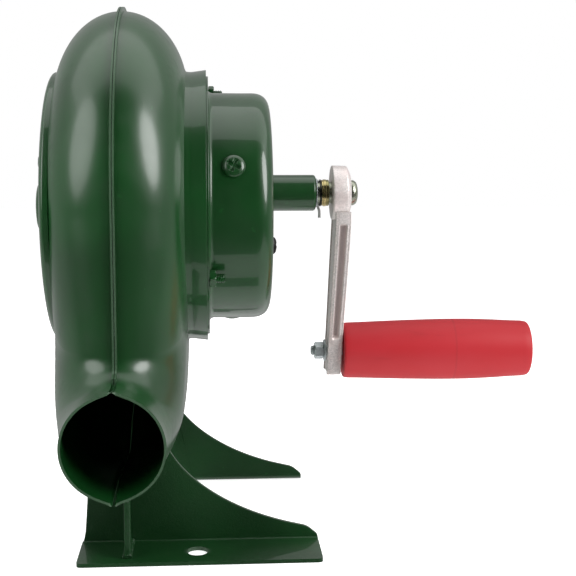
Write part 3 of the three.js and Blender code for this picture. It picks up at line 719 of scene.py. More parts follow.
class Patchwork:
    """Grids of points gathered into one closed mesh."""

    def __init__(self) -> None:
        """Starts with no grids."""
        self.points: list[np.ndarray] = []
        self.quads: list[np.ndarray] = []
        self.wear_and_shade: list[np.ndarray] = []
        self.count = 0

    def grid(self, points: np.ndarray, ring: bool = True, loop: bool = False,
             wear_and_shade: float | np.ndarray = 0.0) -> "Patchwork":
        """Adds a grid.

        Args:
            points: (rows, columns, 3).
            ring: the columns close on themselves.
            loop: the rows close on themselves.
            wear_and_shade: how bare or dirty it is, and on the crank spacer's last ring how much
                painted shade darkens it; one number or one for each point.

        Returns:
            Itself.
        """
        rows, columns = points.shape[:2]
        i = np.arange(rows if loop else rows - 1)[:, None]
        j = np.arange(columns if ring else columns - 1)[None, :]
        i2, j2 = (i + 1) % rows, (j + 1) % columns
        corners = [i * columns + j, i2 * columns + j, i2 * columns + j2, i * columns + j2]
        self.quads.append(np.stack([np.broadcast_to(c, (len(i), j.shape[1])) for c in corners],
                                   -1).reshape(-1, 4) + self.count)
        self.points.append(points.reshape(-1, 3))
        self.wear_and_shade.append(np.broadcast_to(np.asarray(wear_and_shade, float), (rows, columns)).reshape(-1))
        self.count += rows * columns
        return self

    def build(
        self, name: str, body: Body, finish: bpy.types.Material, nodes: tuple[str, ...] = (),
        slot: str = "", sharp: float = 38.0
    ) -> bpy.types.Object:
        """Makes the object and ties it to the frame.

        Args:
            name: plain words.
            body: what it moves with.
            finish: its material.
            nodes: CAD nodes it stands for.
            slot: material slot; not used.
            sharp: edges bent by more degrees than this stay crisp.

        Returns:
            The object.
        """
        points = np.concatenate(self.points) / 1000 + FAN_AXIS
        quads = np.concatenate(self.quads)
        name = name.replace(" ", "_")
        mesh = bpy.data.meshes.new(name)
        mesh.from_pydata(points.tolist(), [], quads.tolist())
        mark = mesh.attributes.new(WEAR_AND_SHADE, "FLOAT", "POINT")
        mark.data.foreach_set("value", np.concatenate(self.wear_and_shade).astype(np.float32))
        work = bmesh.new()
        work.from_mesh(mesh)
        bmesh.ops.remove_doubles(work, verts=work.verts, dist=2e-6)
        bmesh.ops.dissolve_degenerate(work, edges=work.edges, dist=1e-7)
        bmesh.ops.recalc_face_normals(work, faces=work.faces)
        work.to_mesh(mesh)
        work.free()
        mesh.shade_smooth()
        mesh.set_sharp_from_angle(angle=math.radians(sharp))
        mesh.materials.append(finish)
        made = bpy.data.objects.new(name, mesh)
        bpy.context.scene.collection.objects.link(made)
        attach(made, body.value)
        if nodes:
            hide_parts(*nodes)
        log.info("%s: %d faces", name, len(mesh.polygons))
        return made


# ---------------------------------------------------------------- scroll

HALVINGS = 40


@dataclass
class Scroll:
    """The stamped casing: a snail shell and its outlet as one height field X = h(Y, Z) per side.

    The snail's half-section is an ellipse outside the shoulder circle,
    g = 1 - ((r - s) / (R(t) - s))^2, and the outlet's is g = 1 - ((z - c) / b)^2.
    Their smooth maximum g gives h = W sqrt(g).
    """

    finishes: Finishes
    front: float = 92.5
    growth: float = 40.0
    half: float = 35.0
    shoulder: float = 62.0
    wall: float = 1.2
    lip: float = 2.3
    lip_face: float = 1.15
    slit: float = 0.5
    mouth: float = -117.5
    mouth_radius: float = 25.4
    flare: float = 6.8
    bottom: float = -132.3
    blend: float = 0.9
    cusp: float = 2.0
    cusp_width: float = 5.0
    rows: int = 46
    sag: float = 48.0
    corner: tuple[float, float] = (-101.0, -69.0)
    corner_reach: float = 14.0

    def radius(self, t: np.ndarray) -> np.ndarray:
        """Fan axis to wall at an angle from the front over the top; the last quarter runs
        straight down.

        Args:
            t: degrees.

        Returns:
            Millimetres.
        """
        straight = self.front / np.maximum(np.cos(np.radians(360 - t)), 0.05)
        widest = self.front + self.growth
        turned = -smooth_max(-straight, -widest + 0 * t, 16.0)
        return np.where(t <= 270, self.front + self.growth * t / 270, turned)

    def duct(self, y: np.ndarray) -> tuple[np.ndarray, np.ndarray, np.ndarray]:
        """Half-width, half-depth and middle height of the outlet at y.

        Args:
            y: place along the outlet.

        Returns:
            The three arrays.
        """
        s = np.clip((y - self.mouth) / -self.mouth, 0, 1)
        deep = self.mouth_radius + 41.25 * s**2
        return self.mouth_radius + self.flare * smooth(s / 0.5), deep, self.bottom + deep + s

    def share(self, y: np.ndarray, z: np.ndarray) -> tuple[np.ndarray, np.ndarray]:
        """g and W at each place.

        Args:
            y: places.
            z: places.

        Returns:
            g, positive inside the outline, and the half-width W there.
        """
        r = np.hypot(y, z)
        t = np.degrees(np.arctan2(z, -y)) % 360
        snail = 1 - (np.maximum(r - self.shoulder, 0) / (self.radius(t) - self.shoulder)) ** 2
        wide, deep, middle = self.duct(y)
        outlet = 1 - ((z - middle) / deep) ** 2 - (np.maximum(y, 0) / 30) ** 2
        lean = np.clip((outlet - snail) / self.blend / 2 + 0.5, 0, 1)
        g = smooth_max(snail, outlet, self.blend)
        return g, self.half * (1 - lean) + wide * lean

    def height(self, y: np.ndarray, z: np.ndarray) -> np.ndarray:
        """h = W sqrt(g).

        Args:
            y: places.
            z: places.

        Returns:
            Half-width of the casing.
        """
        g, wide = self.share(y, z)
        return wide * np.sqrt(np.clip(g, 0, 1))

    def edge(self, start: np.ndarray, way: np.ndarray, reach: float) -> np.ndarray:
        """Where rays leave the outline, by halving.

        Args:
            start: (n, 2) points inside.
            way: (n, 2) unit directions.
            reach: length that is surely outside.

        Returns:
            (n, 2) points on the outline.
        """
        low, high = np.zeros(len(start)), np.full(len(start), reach)
        for _ in range(HALVINGS):
            middle = (low + high) / 2
            p = start + way * middle[:, None]
            inside = self.share(p[:, 0], p[:, 1])[0] > 0
            low, high = np.where(inside, middle, low), np.where(inside, high, middle)
        return start + way * low[:, None]

    def outline(self) -> tuple[np.ndarray, np.ndarray, np.ndarray]:
        """The outline in order: bottom, back, top, front, tongue, outlet top, mouth.

        Returns:
            Outline points, their inner-circle angles, and 1 on the mouth.
        """
        y = self.mouth + -self.mouth * np.linspace(0, 1, 44) ** 1.2
        under = self.edge(np.stack([y, self.duct(y)[2]], -1), np.tile([0.0, -1.0], (44, 1)), 90)
        t = np.concatenate([np.linspace(270, 0, 130), np.linspace(360, 323.2, 24)[1:]])
        ring = self.edge(around(60.0, t), around(1.0, t), 90)
        corner = np.array(self.corner)
        a = np.radians(np.linspace(0, -90, 26)[1:-1])
        way = np.stack([np.cos(a), np.sin(a)], -1)
        tongue = corner + way * self._gap(corner, way)[:, None]
        y = np.linspace(corner[0], self.mouth, 12)
        top = self.edge(np.stack([y, self.duct(y)[2]], -1), np.tile([0.0, 1.0], (12, 1)), 60)
        a = np.radians(np.linspace(0, 180, 42)[1:-1])
        mouth = np.stack([np.full(40, self.mouth),
                          self.bottom + self.mouth_radius * (1 + np.cos(a))], -1)
        parts = [under[:-1], ring, tongue, top, mouth]
        spans = [(277, 270), (270, 323.2), (323.2, 292), (292, 285), (285, 277)]
        angles = [np.linspace(a, b, len(p) + 1)[:-1] for p, (a, b) in zip(parts, spans)]
        angles[1] = t
        flags = np.concatenate([np.full(len(p), float(i == 4)) for i, p in enumerate(parts)])
        return np.concatenate(parts), np.concatenate(angles), flags

    def _gap(self, corner: np.ndarray, way: np.ndarray) -> np.ndarray:
        """Distance from a point outside the casing to its outline along each ray, by halving.

        Args:
            corner: point in the open corner behind the outlet.
            way: (n, 2) unit directions.

        Returns:
            Distances.
        """
        low, high = np.zeros(len(way)), np.full(len(way), self.corner_reach)
        for _ in range(HALVINGS):
            middle = (low + high) / 2
            p = corner + way * middle[:, None]
            outside = self.share(p[:, 0], p[:, 1])[0] <= 0
            low, high = np.where(outside, middle, low), np.where(outside, high, middle)
        return high

    def half_shell(self, side: int, eye: float, name: str) -> None:
        """Makes one half, outer wall, inner wall, lip edge and eye edge.

        Args:
            side: -1 intake, 1 gears.
            eye: radius of the hole in its flat side.
            name: CAD node it stands for.
        """
        rim, angles, mouth = self.outline()
        tangent = np.roll(rim, -1, 0) - np.roll(rim, 1, 0)
        out = np.stack([-tangent[:, 1], tangent[:, 0]], -1)
        out /= np.linalg.norm(out, axis=1)[:, None]
        out *= np.sign(np.sum(out * (rim - around(40.0, angles)), axis=1))[:, None]
        out = np.where(mouth[:, None] > 0, np.array([-1.0, 0.0]), out)
        taper = smooth((rim[:, 0] - self.mouth) / 14)
        reach = np.where(mouth > 0, 0.8, 0.5 + (self.lip - 0.5) * taper)
        reach = reach * (1 - 0.45 * np.exp(-(((angles - 307) / 12) ** 2)))
        bulge = 62 + 9 * np.exp(-(((angles - 279) / 9) ** 2))
        inner = around(bulge, angles)
        hole = around(eye, angles)
        slit = self.slit * np.clip(1 - (rim[:, 0] - self.mouth) / 45, 0,
                                   1) * (np.arange(len(rim)) < 44)
        slit = np.where((mouth > 0) & (rim[:, 1] < self.bottom + 8), self.slit, slit)

        fade = 1 - np.cos(np.linspace(0, math.pi / 2, self.rows))
        field_rows = rim[None] + (inner - rim)[None] * fade[:, None, None]
        sag = self.sag * np.exp(-(((angles - 286) / 7) ** 2)) * smooth((rim[:, 1] - self.bottom
                                                                        - 8) / 36)
        field_rows[..., 1] -= sag[None] * (fade * (1 - fade))[:, None]
        lips = rim[None] + out[None] * (reach[None, :]
                                        * np.array([1.0, 0.62, 0.25])[:, None])[..., None]
        flat = inner[None] + (hole - inner)[None] * np.linspace(0, 1, 7)[1:, None, None]
        plane = np.concatenate([lips, field_rows, flat])
        h = self.height(plane[..., 0], plane[..., 1])
        at_mouth = np.abs(rim[:, 1] - self.bottom - self.mouth_radius)
        round_mouth = np.sqrt(np.clip(self.mouth_radius**2 - at_mouth**2, 0, None))
        h[:3] = np.where(mouth > 0, round_mouth, 0)
        h[-6:] = self.half
        if side > 0:
            step = 35.3 - 0.3 * np.maximum(np.hypot(plane[..., 0], plane[..., 1]) - 71.5, 0) ** 2
            h[3:-6] = smooth_max(h[3:-6], step[3:-6], 1.5)
        near_mouth = smooth((self.mouth + 16 - plane[..., 0]) / 16)
        x = smooth_max(h, self.lip_face + slit + 0 * h, 1.6 + 0.8 * near_mouth)
        way_up = np.sign(plane[..., 1] - self.bottom - self.mouth_radius)
        lift = self.cusp * np.exp(-np.maximum(x - self.lip_face, 0)
                                  / self.cusp_width) * near_mouth * way_up
        plane[..., 1] += lift * (np.abs(plane[..., 1] - self.bottom - self.mouth_radius) > 12)
        x[0] = np.where(mouth > 0, x[0], self.lip_face + slit)
        x[1] = np.where(mouth > 0, x[1], self.lip_face + slit)
        x = np.minimum(x, np.where(side > 0, 35.3, self.half))
        outer = np.concatenate([x[..., None] * side, plane], -1)
        skin = shell(outer, self.wall, 1.0)
        if np.mean(np.abs(skin[5:30, :, 0])) > np.mean(np.abs(outer[5:30, :, 0])):
            skin = shell(outer, self.wall, -1.0)
        skin[0] = skin[1] + (outer[0] - outer[1])
        floor_x = 0.15 + slit[None]
        skin[..., 0] = side * np.maximum(np.abs(skin[..., 0]), floor_x)
        flat_lip = (mouth[None, :] == 0) & (np.arange(len(skin))[:, None] < 4)
        backing = np.stack([side * floor_x + 0 * outer[..., 1], outer[..., 1], outer[..., 2]], -1)
        skin = np.where(flat_lip[..., None], backing, skin)
        whole = np.concatenate([outer, skin[::-1]])
        wear_and_shade = np.zeros(whole.shape[:2])
        wear_and_shade[0], wear_and_shade[-1] = 0.7, 0.7
        wear_and_shade[-2] = 0.4
        Patchwork().grid(whole, loop=True, wear_and_shade=wear_and_shade).build(
            name, Body.HOUSING, self.finishes.scroll, (name,), "green_enamel", 50
        )

    def build(self) -> None:
        """Makes both halves."""
        self.half_shell(-1, 37.0, "scroll_left")
        self.half_shell(1, 20.0, "scroll_right")


# ---------------------------------------------------------------- intake side


@dataclass
class IntakeSide:
    """Domed plate with six air holes and three screws."""

    finishes: Finishes
    base: float = -33.2
    rim: float = 5.0
    rim_face: float = -38.0
    dome: float = 3.2
    radius: float = 73.0
    boss_foot: float = 20.0
    boss_radius: float = 13.0
    boss_top: float = -47.55
    wall: float = 1.2
    hole_radius: float = 8.0
    hole_circle: float = 28.0
    screw_circle: float = 47.0
    screw_angle: float = 32.0
    head: float = 4.4

    def face(self, r: np.ndarray) -> np.ndarray:
        """X of the outer face: flat boss, S-curve down to the dome, cone, rounded rim.

        Args:
            r: distance from the axis.

        Returns:
            X at each distance.
        """
        cone = self.rim_face - self.dome * np.clip((71.8 - r) / (71.8 - 20), 0, 1)
        boss = smooth((self.boss_foot - r) / (self.boss_foot - self.boss_radius + 2))
        x = cone + (self.boss_top - cone) * boss
        edge = np.clip((r - (self.radius - self.rim)) / self.rim, 0, 1)
        return x + 2.4 * (1 - np.sqrt(1 - edge**2))

    def _cell(self) -> tuple[np.ndarray, np.ndarray]:
        """One sixth of the band round a hole, as directions round the hole and the cell's edge
        on each.

        Returns:
            Hole-edge points and cell-edge points, both (n, 2) in (along the radius, across it).
        """
        low, high, turn = 18.6, 38.0, math.radians(30)
        t = np.linspace(-turn, turn, 13)
        s = np.linspace(0, 1, 9)[1:-1]
        arc_out = np.stack([high * np.cos(t), high * np.sin(t)], -1)
        arc_in = np.stack([low * np.cos(t[::-1]), low * np.sin(t[::-1])], -1)
        up = arc_out[-1] + (arc_in[0] - arc_out[-1]) * s[:, None]
        down = arc_in[-1] + (arc_out[0] - arc_in[-1]) * s[:, None]
        edge = np.concatenate([arc_out, up, arc_in, down])
        away = edge - np.array([self.hole_circle, 0.0])
        away /= np.linalg.norm(away, axis=1)[:, None]
        return np.array([self.hole_circle, 0.0]) + away * self.hole_radius, edge

    def plate(self) -> None:
        """Makes the plate as a disc, six holed cells and a ring, with an inner face 1.2 mm
        behind."""
        work = Patchwork()
        sixth = np.arange(72) * 5 - 30.0

        def add(yz: np.ndarray, ring: bool) -> None:
            x = self.face(np.hypot(yz[..., 0], yz[..., 1]))
            outer = np.concatenate([x[..., None], yz], -1)
            inner = outer + np.array([self.wall, 0, 0])
            work.grid(outer, ring).grid(inner, ring)

        rings = np.concatenate([[0.0], np.linspace(1, 18.6, 34)])
        add(around(rings[:, None], sixth[None]), True)
        hole, edge = self._cell()
        steps = np.array([0, 0.06, 0.14, 0.3, 0.5, 0.75, 1.0])[:, None, None]
        local = hole[None] + (edge - hole)[None] * steps
        for k in range(6):
            r, a = np.hypot(local[..., 0],
                            local[..., 1]), np.degrees(np.arctan2(local[..., 1], local[..., 0]))
            add(around(r, a + 60 * k), True)
            bore = np.stack([local[0], local[0]])
            yz = around(np.hypot(bore[..., 0], bore[..., 1]),
                        np.degrees(np.arctan2(bore[..., 1], bore[..., 0])) + 60 * k)
            x = self.face(np.hypot(yz[..., 0], yz[..., 1])) + np.array([[0.0], [self.wall]])
            work.grid(np.concatenate([x[..., None], yz], -1))
        wide = np.concatenate([np.linspace(38, 68, 26),
                               self.radius - self.rim * (1 - np.sin(np.linspace(0, math.pi / 2,
                                                                                10)))])
        ring = around(wide[:, None], sixth[None])
        add(ring, True)
        wall = around(np.full((2, 1), self.radius), sixth[None])
        x = np.array([[self.face(np.array(self.radius))], [self.base]]) + np.zeros((2, 72))
        work.grid(np.concatenate([x[..., None], wall], -1))
        back = around(np.array([[self.radius], [self.radius - self.wall]]), sixth[None])
        work.grid(np.concatenate([np.full((2, 72, 1), self.base), back], -1))
        lip = around(np.full((2, 1), self.radius - self.wall), sixth[None])
        x = np.array([[self.base],
                      [self.face(np.array(self.radius - self.wall))
                       + self.wall]]) + np.zeros((2, 72))
        work.grid(np.concatenate([x[..., None], lip], -1))
        work.build("intake plate", Body.HOUSING, self.finishes.enamel, ("intake_plate",),
                   "green_enamel")

    def build(self) -> None:
        """Makes the plate and its screws."""
        self.plate()
        for k in range(3):
            y, z = around(self.screw_circle, self.screw_angle + 120 * k)
            seat = float(self.face(np.array(self.screw_circle))) - 0.05
            head = cross_head(self.head, 2.15)
            grid = np.stack([seat - head[..., 2], y + head[..., 0], z + head[..., 1]], -1)
            Patchwork().grid(grid).build(
                f"intake screw {k + 1}", Body.HOUSING, self.finishes.enamel,
                (f"intake_screw_{k + 1}",), "enamelled_screw"
            )


def cross_head(radius: float, height: float, sides: int = 96, depth: float = 1.3) -> np.ndarray:
    """A domed screw head with a cross recess: the dome minus a cross of rounded slots that
    deepens inwards.

    Args:
        radius: of the head.
        height: of the head.
        sides: points round it.
        depth: of the recess.

    Returns:
        Grid in (u, v, outwards), seat at 0, closed underneath.
    """
    r = np.concatenate([np.linspace(0, 0.72, 34), np.linspace(0.75, 1, 14)])[:, None] * radius
    a = np.linspace(0, FULL_TURN, sides, endpoint=False)[None, :]
    u, v = r * np.cos(a), r * np.sin(a)
    ratio = np.clip(r / radius, 0, 1)
    dome = height * (0.16 + 0.84 * np.sqrt(np.clip(1 - ratio**2.6, 0, 1)))
    slot = radius * 0.15
    p, q = r * np.cos(a + 0.45), r * np.sin(a + 0.45)
    arm = np.minimum(np.abs(p), np.abs(q))
    length = np.maximum(np.abs(p), np.abs(q))
    cut = smooth((slot * 1.5 - arm) / (slot * 0.9)) * smooth((radius * 0.62 - length)
                                                             / (radius * 0.1))
    w = dome - depth * cut * (1.1 - 0.4 * length / radius)
    top = np.stack([u, v, w], -1)
    under = np.stack([np.stack([k * u[-1], k * v[-1], 0 * u[-1]], -1) for k in (1.0, 0.0)])
    return np.concatenate([top, under])


# ---------------------------------------------------------------- feet


@dataclass
class Feet:
    """Two bent sheet feet, mirrored, and the strip under the outlet.

    A foot is unfolded: every column of its grid is a straight line from the slotted hole to the
    sheet's outline, with rows held on both lines of the bend. On the rear foot, columns that pass
    beyond the shorter flange turn at its end. The bend then wraps it round a quarter circle.
    """

    finishes: Finishes
    floor: float = -173.7
    sheet: float = 2.0
    plane: float = 58.0
    flange: float = 32.5
    left: float = -21.2
    right: float = 102.0
    bend: float = 0.9
    hole_x: float = 38.9
    hole_from_bend: float = 17.1
    hole_radius: float = 5.0
    hole_slot: float = 1.5
    top: float = 76.0
    neck: float = 56.0
    toe: float = 8.5
    rear_right: float = 60.0
    end_inset: float = 0.4
    edge_wear: float = 0.75
    hole_wear: float = 0.8
    strut_front: float = 27.3
    strut_back: float = 0.3
    strut_lift: float = 0.3
    strut_top: float = -132.9
    strut_left: float = 2.5
    strut_right: float = 4.3

    def _outline(self, way: int) -> np.ndarray:
        """The unfolded outline, (x, s); s is negative on the flange and is height above the
        floor on the plate.

        Args:
            way: -1 front foot, 1 rear foot, whose flange is cut shorter.

        Returns:
            Closed loop of points, cut off where it meets the casing.
        """
        edge, right = -self.flange, self.right if way < 0 else self.rear_right
        t = np.linspace(0, 1, 26)[:, None]
        x0, z0 = self.right - 6, self.toe
        a, b, c, d = np.array([[x0, z0], [60, self.toe + 6.5], [30, 34], [22, self.neck]], float)
        sweep = (1 - t) ** 3 * a + 3 * t * (1 - t) ** 2 * b + 3 * t**2 * (1 - t) * c + t**3 * d
        toe = rounded([(self.right, 0), (self.right, z0 - 5), (x0, z0), (x0 - 6, z0 + 1)],
                      [0, 1.5, 3, 0], 8)[1:]
        toe = toe[toe[:, 0] > x0 - 1.5]
        top = np.array([sweep[-1], (18, self.top), (self.left + 6, self.top)])
        flare = rounded([tuple(top[-1]), (self.left + 2.6, 18), (self.left + 1.6, 6),
                         (self.left, 0)], 6, 8)
        corners = [(self.left, 0), (self.left, edge), (right, edge), (right, -1.2),
                   (self.right, -1.2), (self.right, 0)]
        if way < 0:
            corners[3:5] = []
        corner = rounded(corners, [0, 3, 3, 0.6, 0.6, 0][: len(corners) - 1] + [0], 8)
        front_of_toe = np.concatenate([[(self.right, 0)], toe])
        parts = (front_of_toe, np.concatenate([toe[-1:], sweep[2:]]), top, flare, corner)
        loop = np.concatenate([self._dense(part)[:-1] for part in parts])
        loop[:, 1] = np.minimum(loop[:, 1],
                                self._ceiling(loop[:, 0], way * self.plane) - self.floor)
        return loop

    def _ceiling(self, x: np.ndarray, y: float) -> np.ndarray:
        """Height of the casing's underside over each x in the plane of the foot, by halving.

        Args:
            x: places along the foot.
            y: the foot's plane.

        Returns:
            Heights; far above the foot where there is no casing overhead.
        """
        casing = Scroll(self.finishes)
        low, high = np.full(len(x), -150.0), np.full(len(x), -70.0)
        level = y + 0 * x
        for _ in range(30):
            middle = (low + high) / 2
            inside = casing.height(level, middle) > np.abs(x)
            low, high = np.where(inside, low, middle), np.where(inside, middle, high)
        return np.where(high > -70.5, 0.0, high + 0.6)

    @staticmethod
    def _dense(line: np.ndarray, step: float = 1.6) -> np.ndarray:
        """The same polyline with no gap over step.

        Args:
            line: points.
            step: largest gap.

        Returns:
            More points.
        """
        legs = np.linalg.norm(np.diff(line, axis=0), axis=1)
        along = np.concatenate([[0], np.cumsum(legs)])
        extra = np.linspace(0, along[-1], int(along[-1] / step) + 2)
        places = np.unique(np.round(np.concatenate([along, extra]), 4))
        return np.stack([np.interp(places, along, line[:, k]) for k in (0, 1)], -1)

    def _fold(self, x: np.ndarray, s: np.ndarray, depth: float, way: int) -> np.ndarray:
        """Unfolded places to space: flat, quarter circle of the bend, upright.

        Args:
            x: along the foot.
            s: across the sheet.
            depth: 0 on the outer or lower face, sheet on the other.
            way: -1 front foot, 1 rear foot.

        Returns:
            Points.
        """
        centre_y = self.plane - self.sheet / 2 + self.bend + self.sheet
        centre_z = self.bend + self.sheet
        lowest, upright = -self.bend, self.bend + self.sheet
        turn = np.clip((s - lowest) / (upright - lowest), 0, 1) * math.pi / 2
        r = self.bend + self.sheet - depth
        y = centre_y - r * np.sin(turn) + np.maximum(lowest - s, 0)
        z = centre_z - r * np.cos(turn) + np.maximum(s - upright, 0)
        return np.stack([x, way * y, self.floor + z], -1)

    def foot(self, way: int, name: str) -> None:
        """Makes one foot.

        Args:
            way: -1 in front, 1 behind.
            name: CAD node it stands for.
        """
        edge = self._outline(way)
        middle = np.array([self.hole_x, -self.hole_from_bend])
        away = edge - middle
        away /= np.linalg.norm(away, axis=1)[:, None]
        hole = middle + away * self.hole_radius + np.stack([0 * away[:, 0],
                                                            np.sign(away[:, 1]) * self.hole_slot],
                                                            -1)
        lowest, upright = -self.bend, self.bend + self.sheet
        rise = edge[:, 1] - hole[:, 1]
        up = rise > 1e-6
        first = np.where(up, np.clip((lowest - hole[:, 1]) / np.where(up, rise, 1), 0, 1), 1)
        near = hole + (edge - hole) * first[:, None]
        beyond = edge[:, 0] > (self.right if way < 0 else self.rear_right) + 0.1
        near[beyond, 0] = self.rear_right - self.end_inset
        left = edge[:, 1] - near[:, 1]
        second = np.where(left > 1e-6,
                          np.clip((upright - near[:, 1]) / np.where(left > 1e-6, left, 1), 0, 1),
                          1)
        far = near + (edge - near) * second[:, None]
        u = np.linspace(0, 1, 11)[:, None, None]
        legs = [(hole, near), (near, far), (far, edge)]
        flat = np.concatenate([(a + (b - a) * u)[min(k, 1):] for k, (a, b) in enumerate(legs)])
        low = self._fold(flat[..., 0], flat[..., 1], 0.0, way)
        high = self._fold(flat[..., 0], flat[..., 1], self.sheet, way)
        whole = np.concatenate([low, high[::-1]])
        wear_and_shade = np.zeros(whole.shape[:2])
        wear_and_shade[len(low) - 1 : len(low) + 1] = self.edge_wear
        wear_and_shade[0] = wear_and_shade[-1] = self.hole_wear
        Patchwork().grid(whole, loop=True, wear_and_shade=wear_and_shade).build(
            name.replace("_", " "), Body.HOUSING, self.finishes.overspray, (name,),
            "green_enamel", 30
        )

    def strut(self) -> None:
        """Makes the strip on edge under the outlet, with rough weld beads along its right side
        and foot."""
        face = -self.plane - self.sheet / 2
        front, back = face - self.strut_front, face - self.strut_back
        top = self.strut_top
        base = self.floor + self.sheet + self.strut_lift
        loop = rounded_loop([(front, base), (back, base), (back, top), (front, top)],
                            [0.8, 0.4, 0.4, 0.8], 4)
        strip = stack(loop, bevelled(self.strut_left, self.strut_right, 0.35), 0)
        work = Patchwork().grid(strip)
        rng = np.random.default_rng(4)
        z = np.linspace(base + 1, -134.2, 60)
        lump = np.convolve(rng.random(60), np.ones(3) / 3, "same")
        runs = [(np.stack([4.5 + 0 * z, front + 1.2 + 0 * z, z], -1), 0.8 + 0.9 * lump)]
        y = np.linspace(front + 0.6, back - 1, 60)
        runs.append((np.stack([4.6 + 0 * y, y, base + 0.5 + 0 * y], -1), 1.0 + 1.0 * lump))
        runs.append((np.stack([2.4 + 0 * y, y, base + 0.5 + 0 * y], -1), 0.7 + 0.6 * lump))
        for path, size in runs:
            work.grid(tube(path, size, 12))
        work.build("outlet strut with weld beads", Body.HOUSING, self.finishes.overspray,
                   ("outlet_strut",), "green_enamel")

    def build(self) -> None:
        """Makes the feet and the strip."""
        self.foot(-1, "front_foot")
        self.foot(1, "rear_foot")
        self.strut()


# ---------------------------------------------------------------- gear case


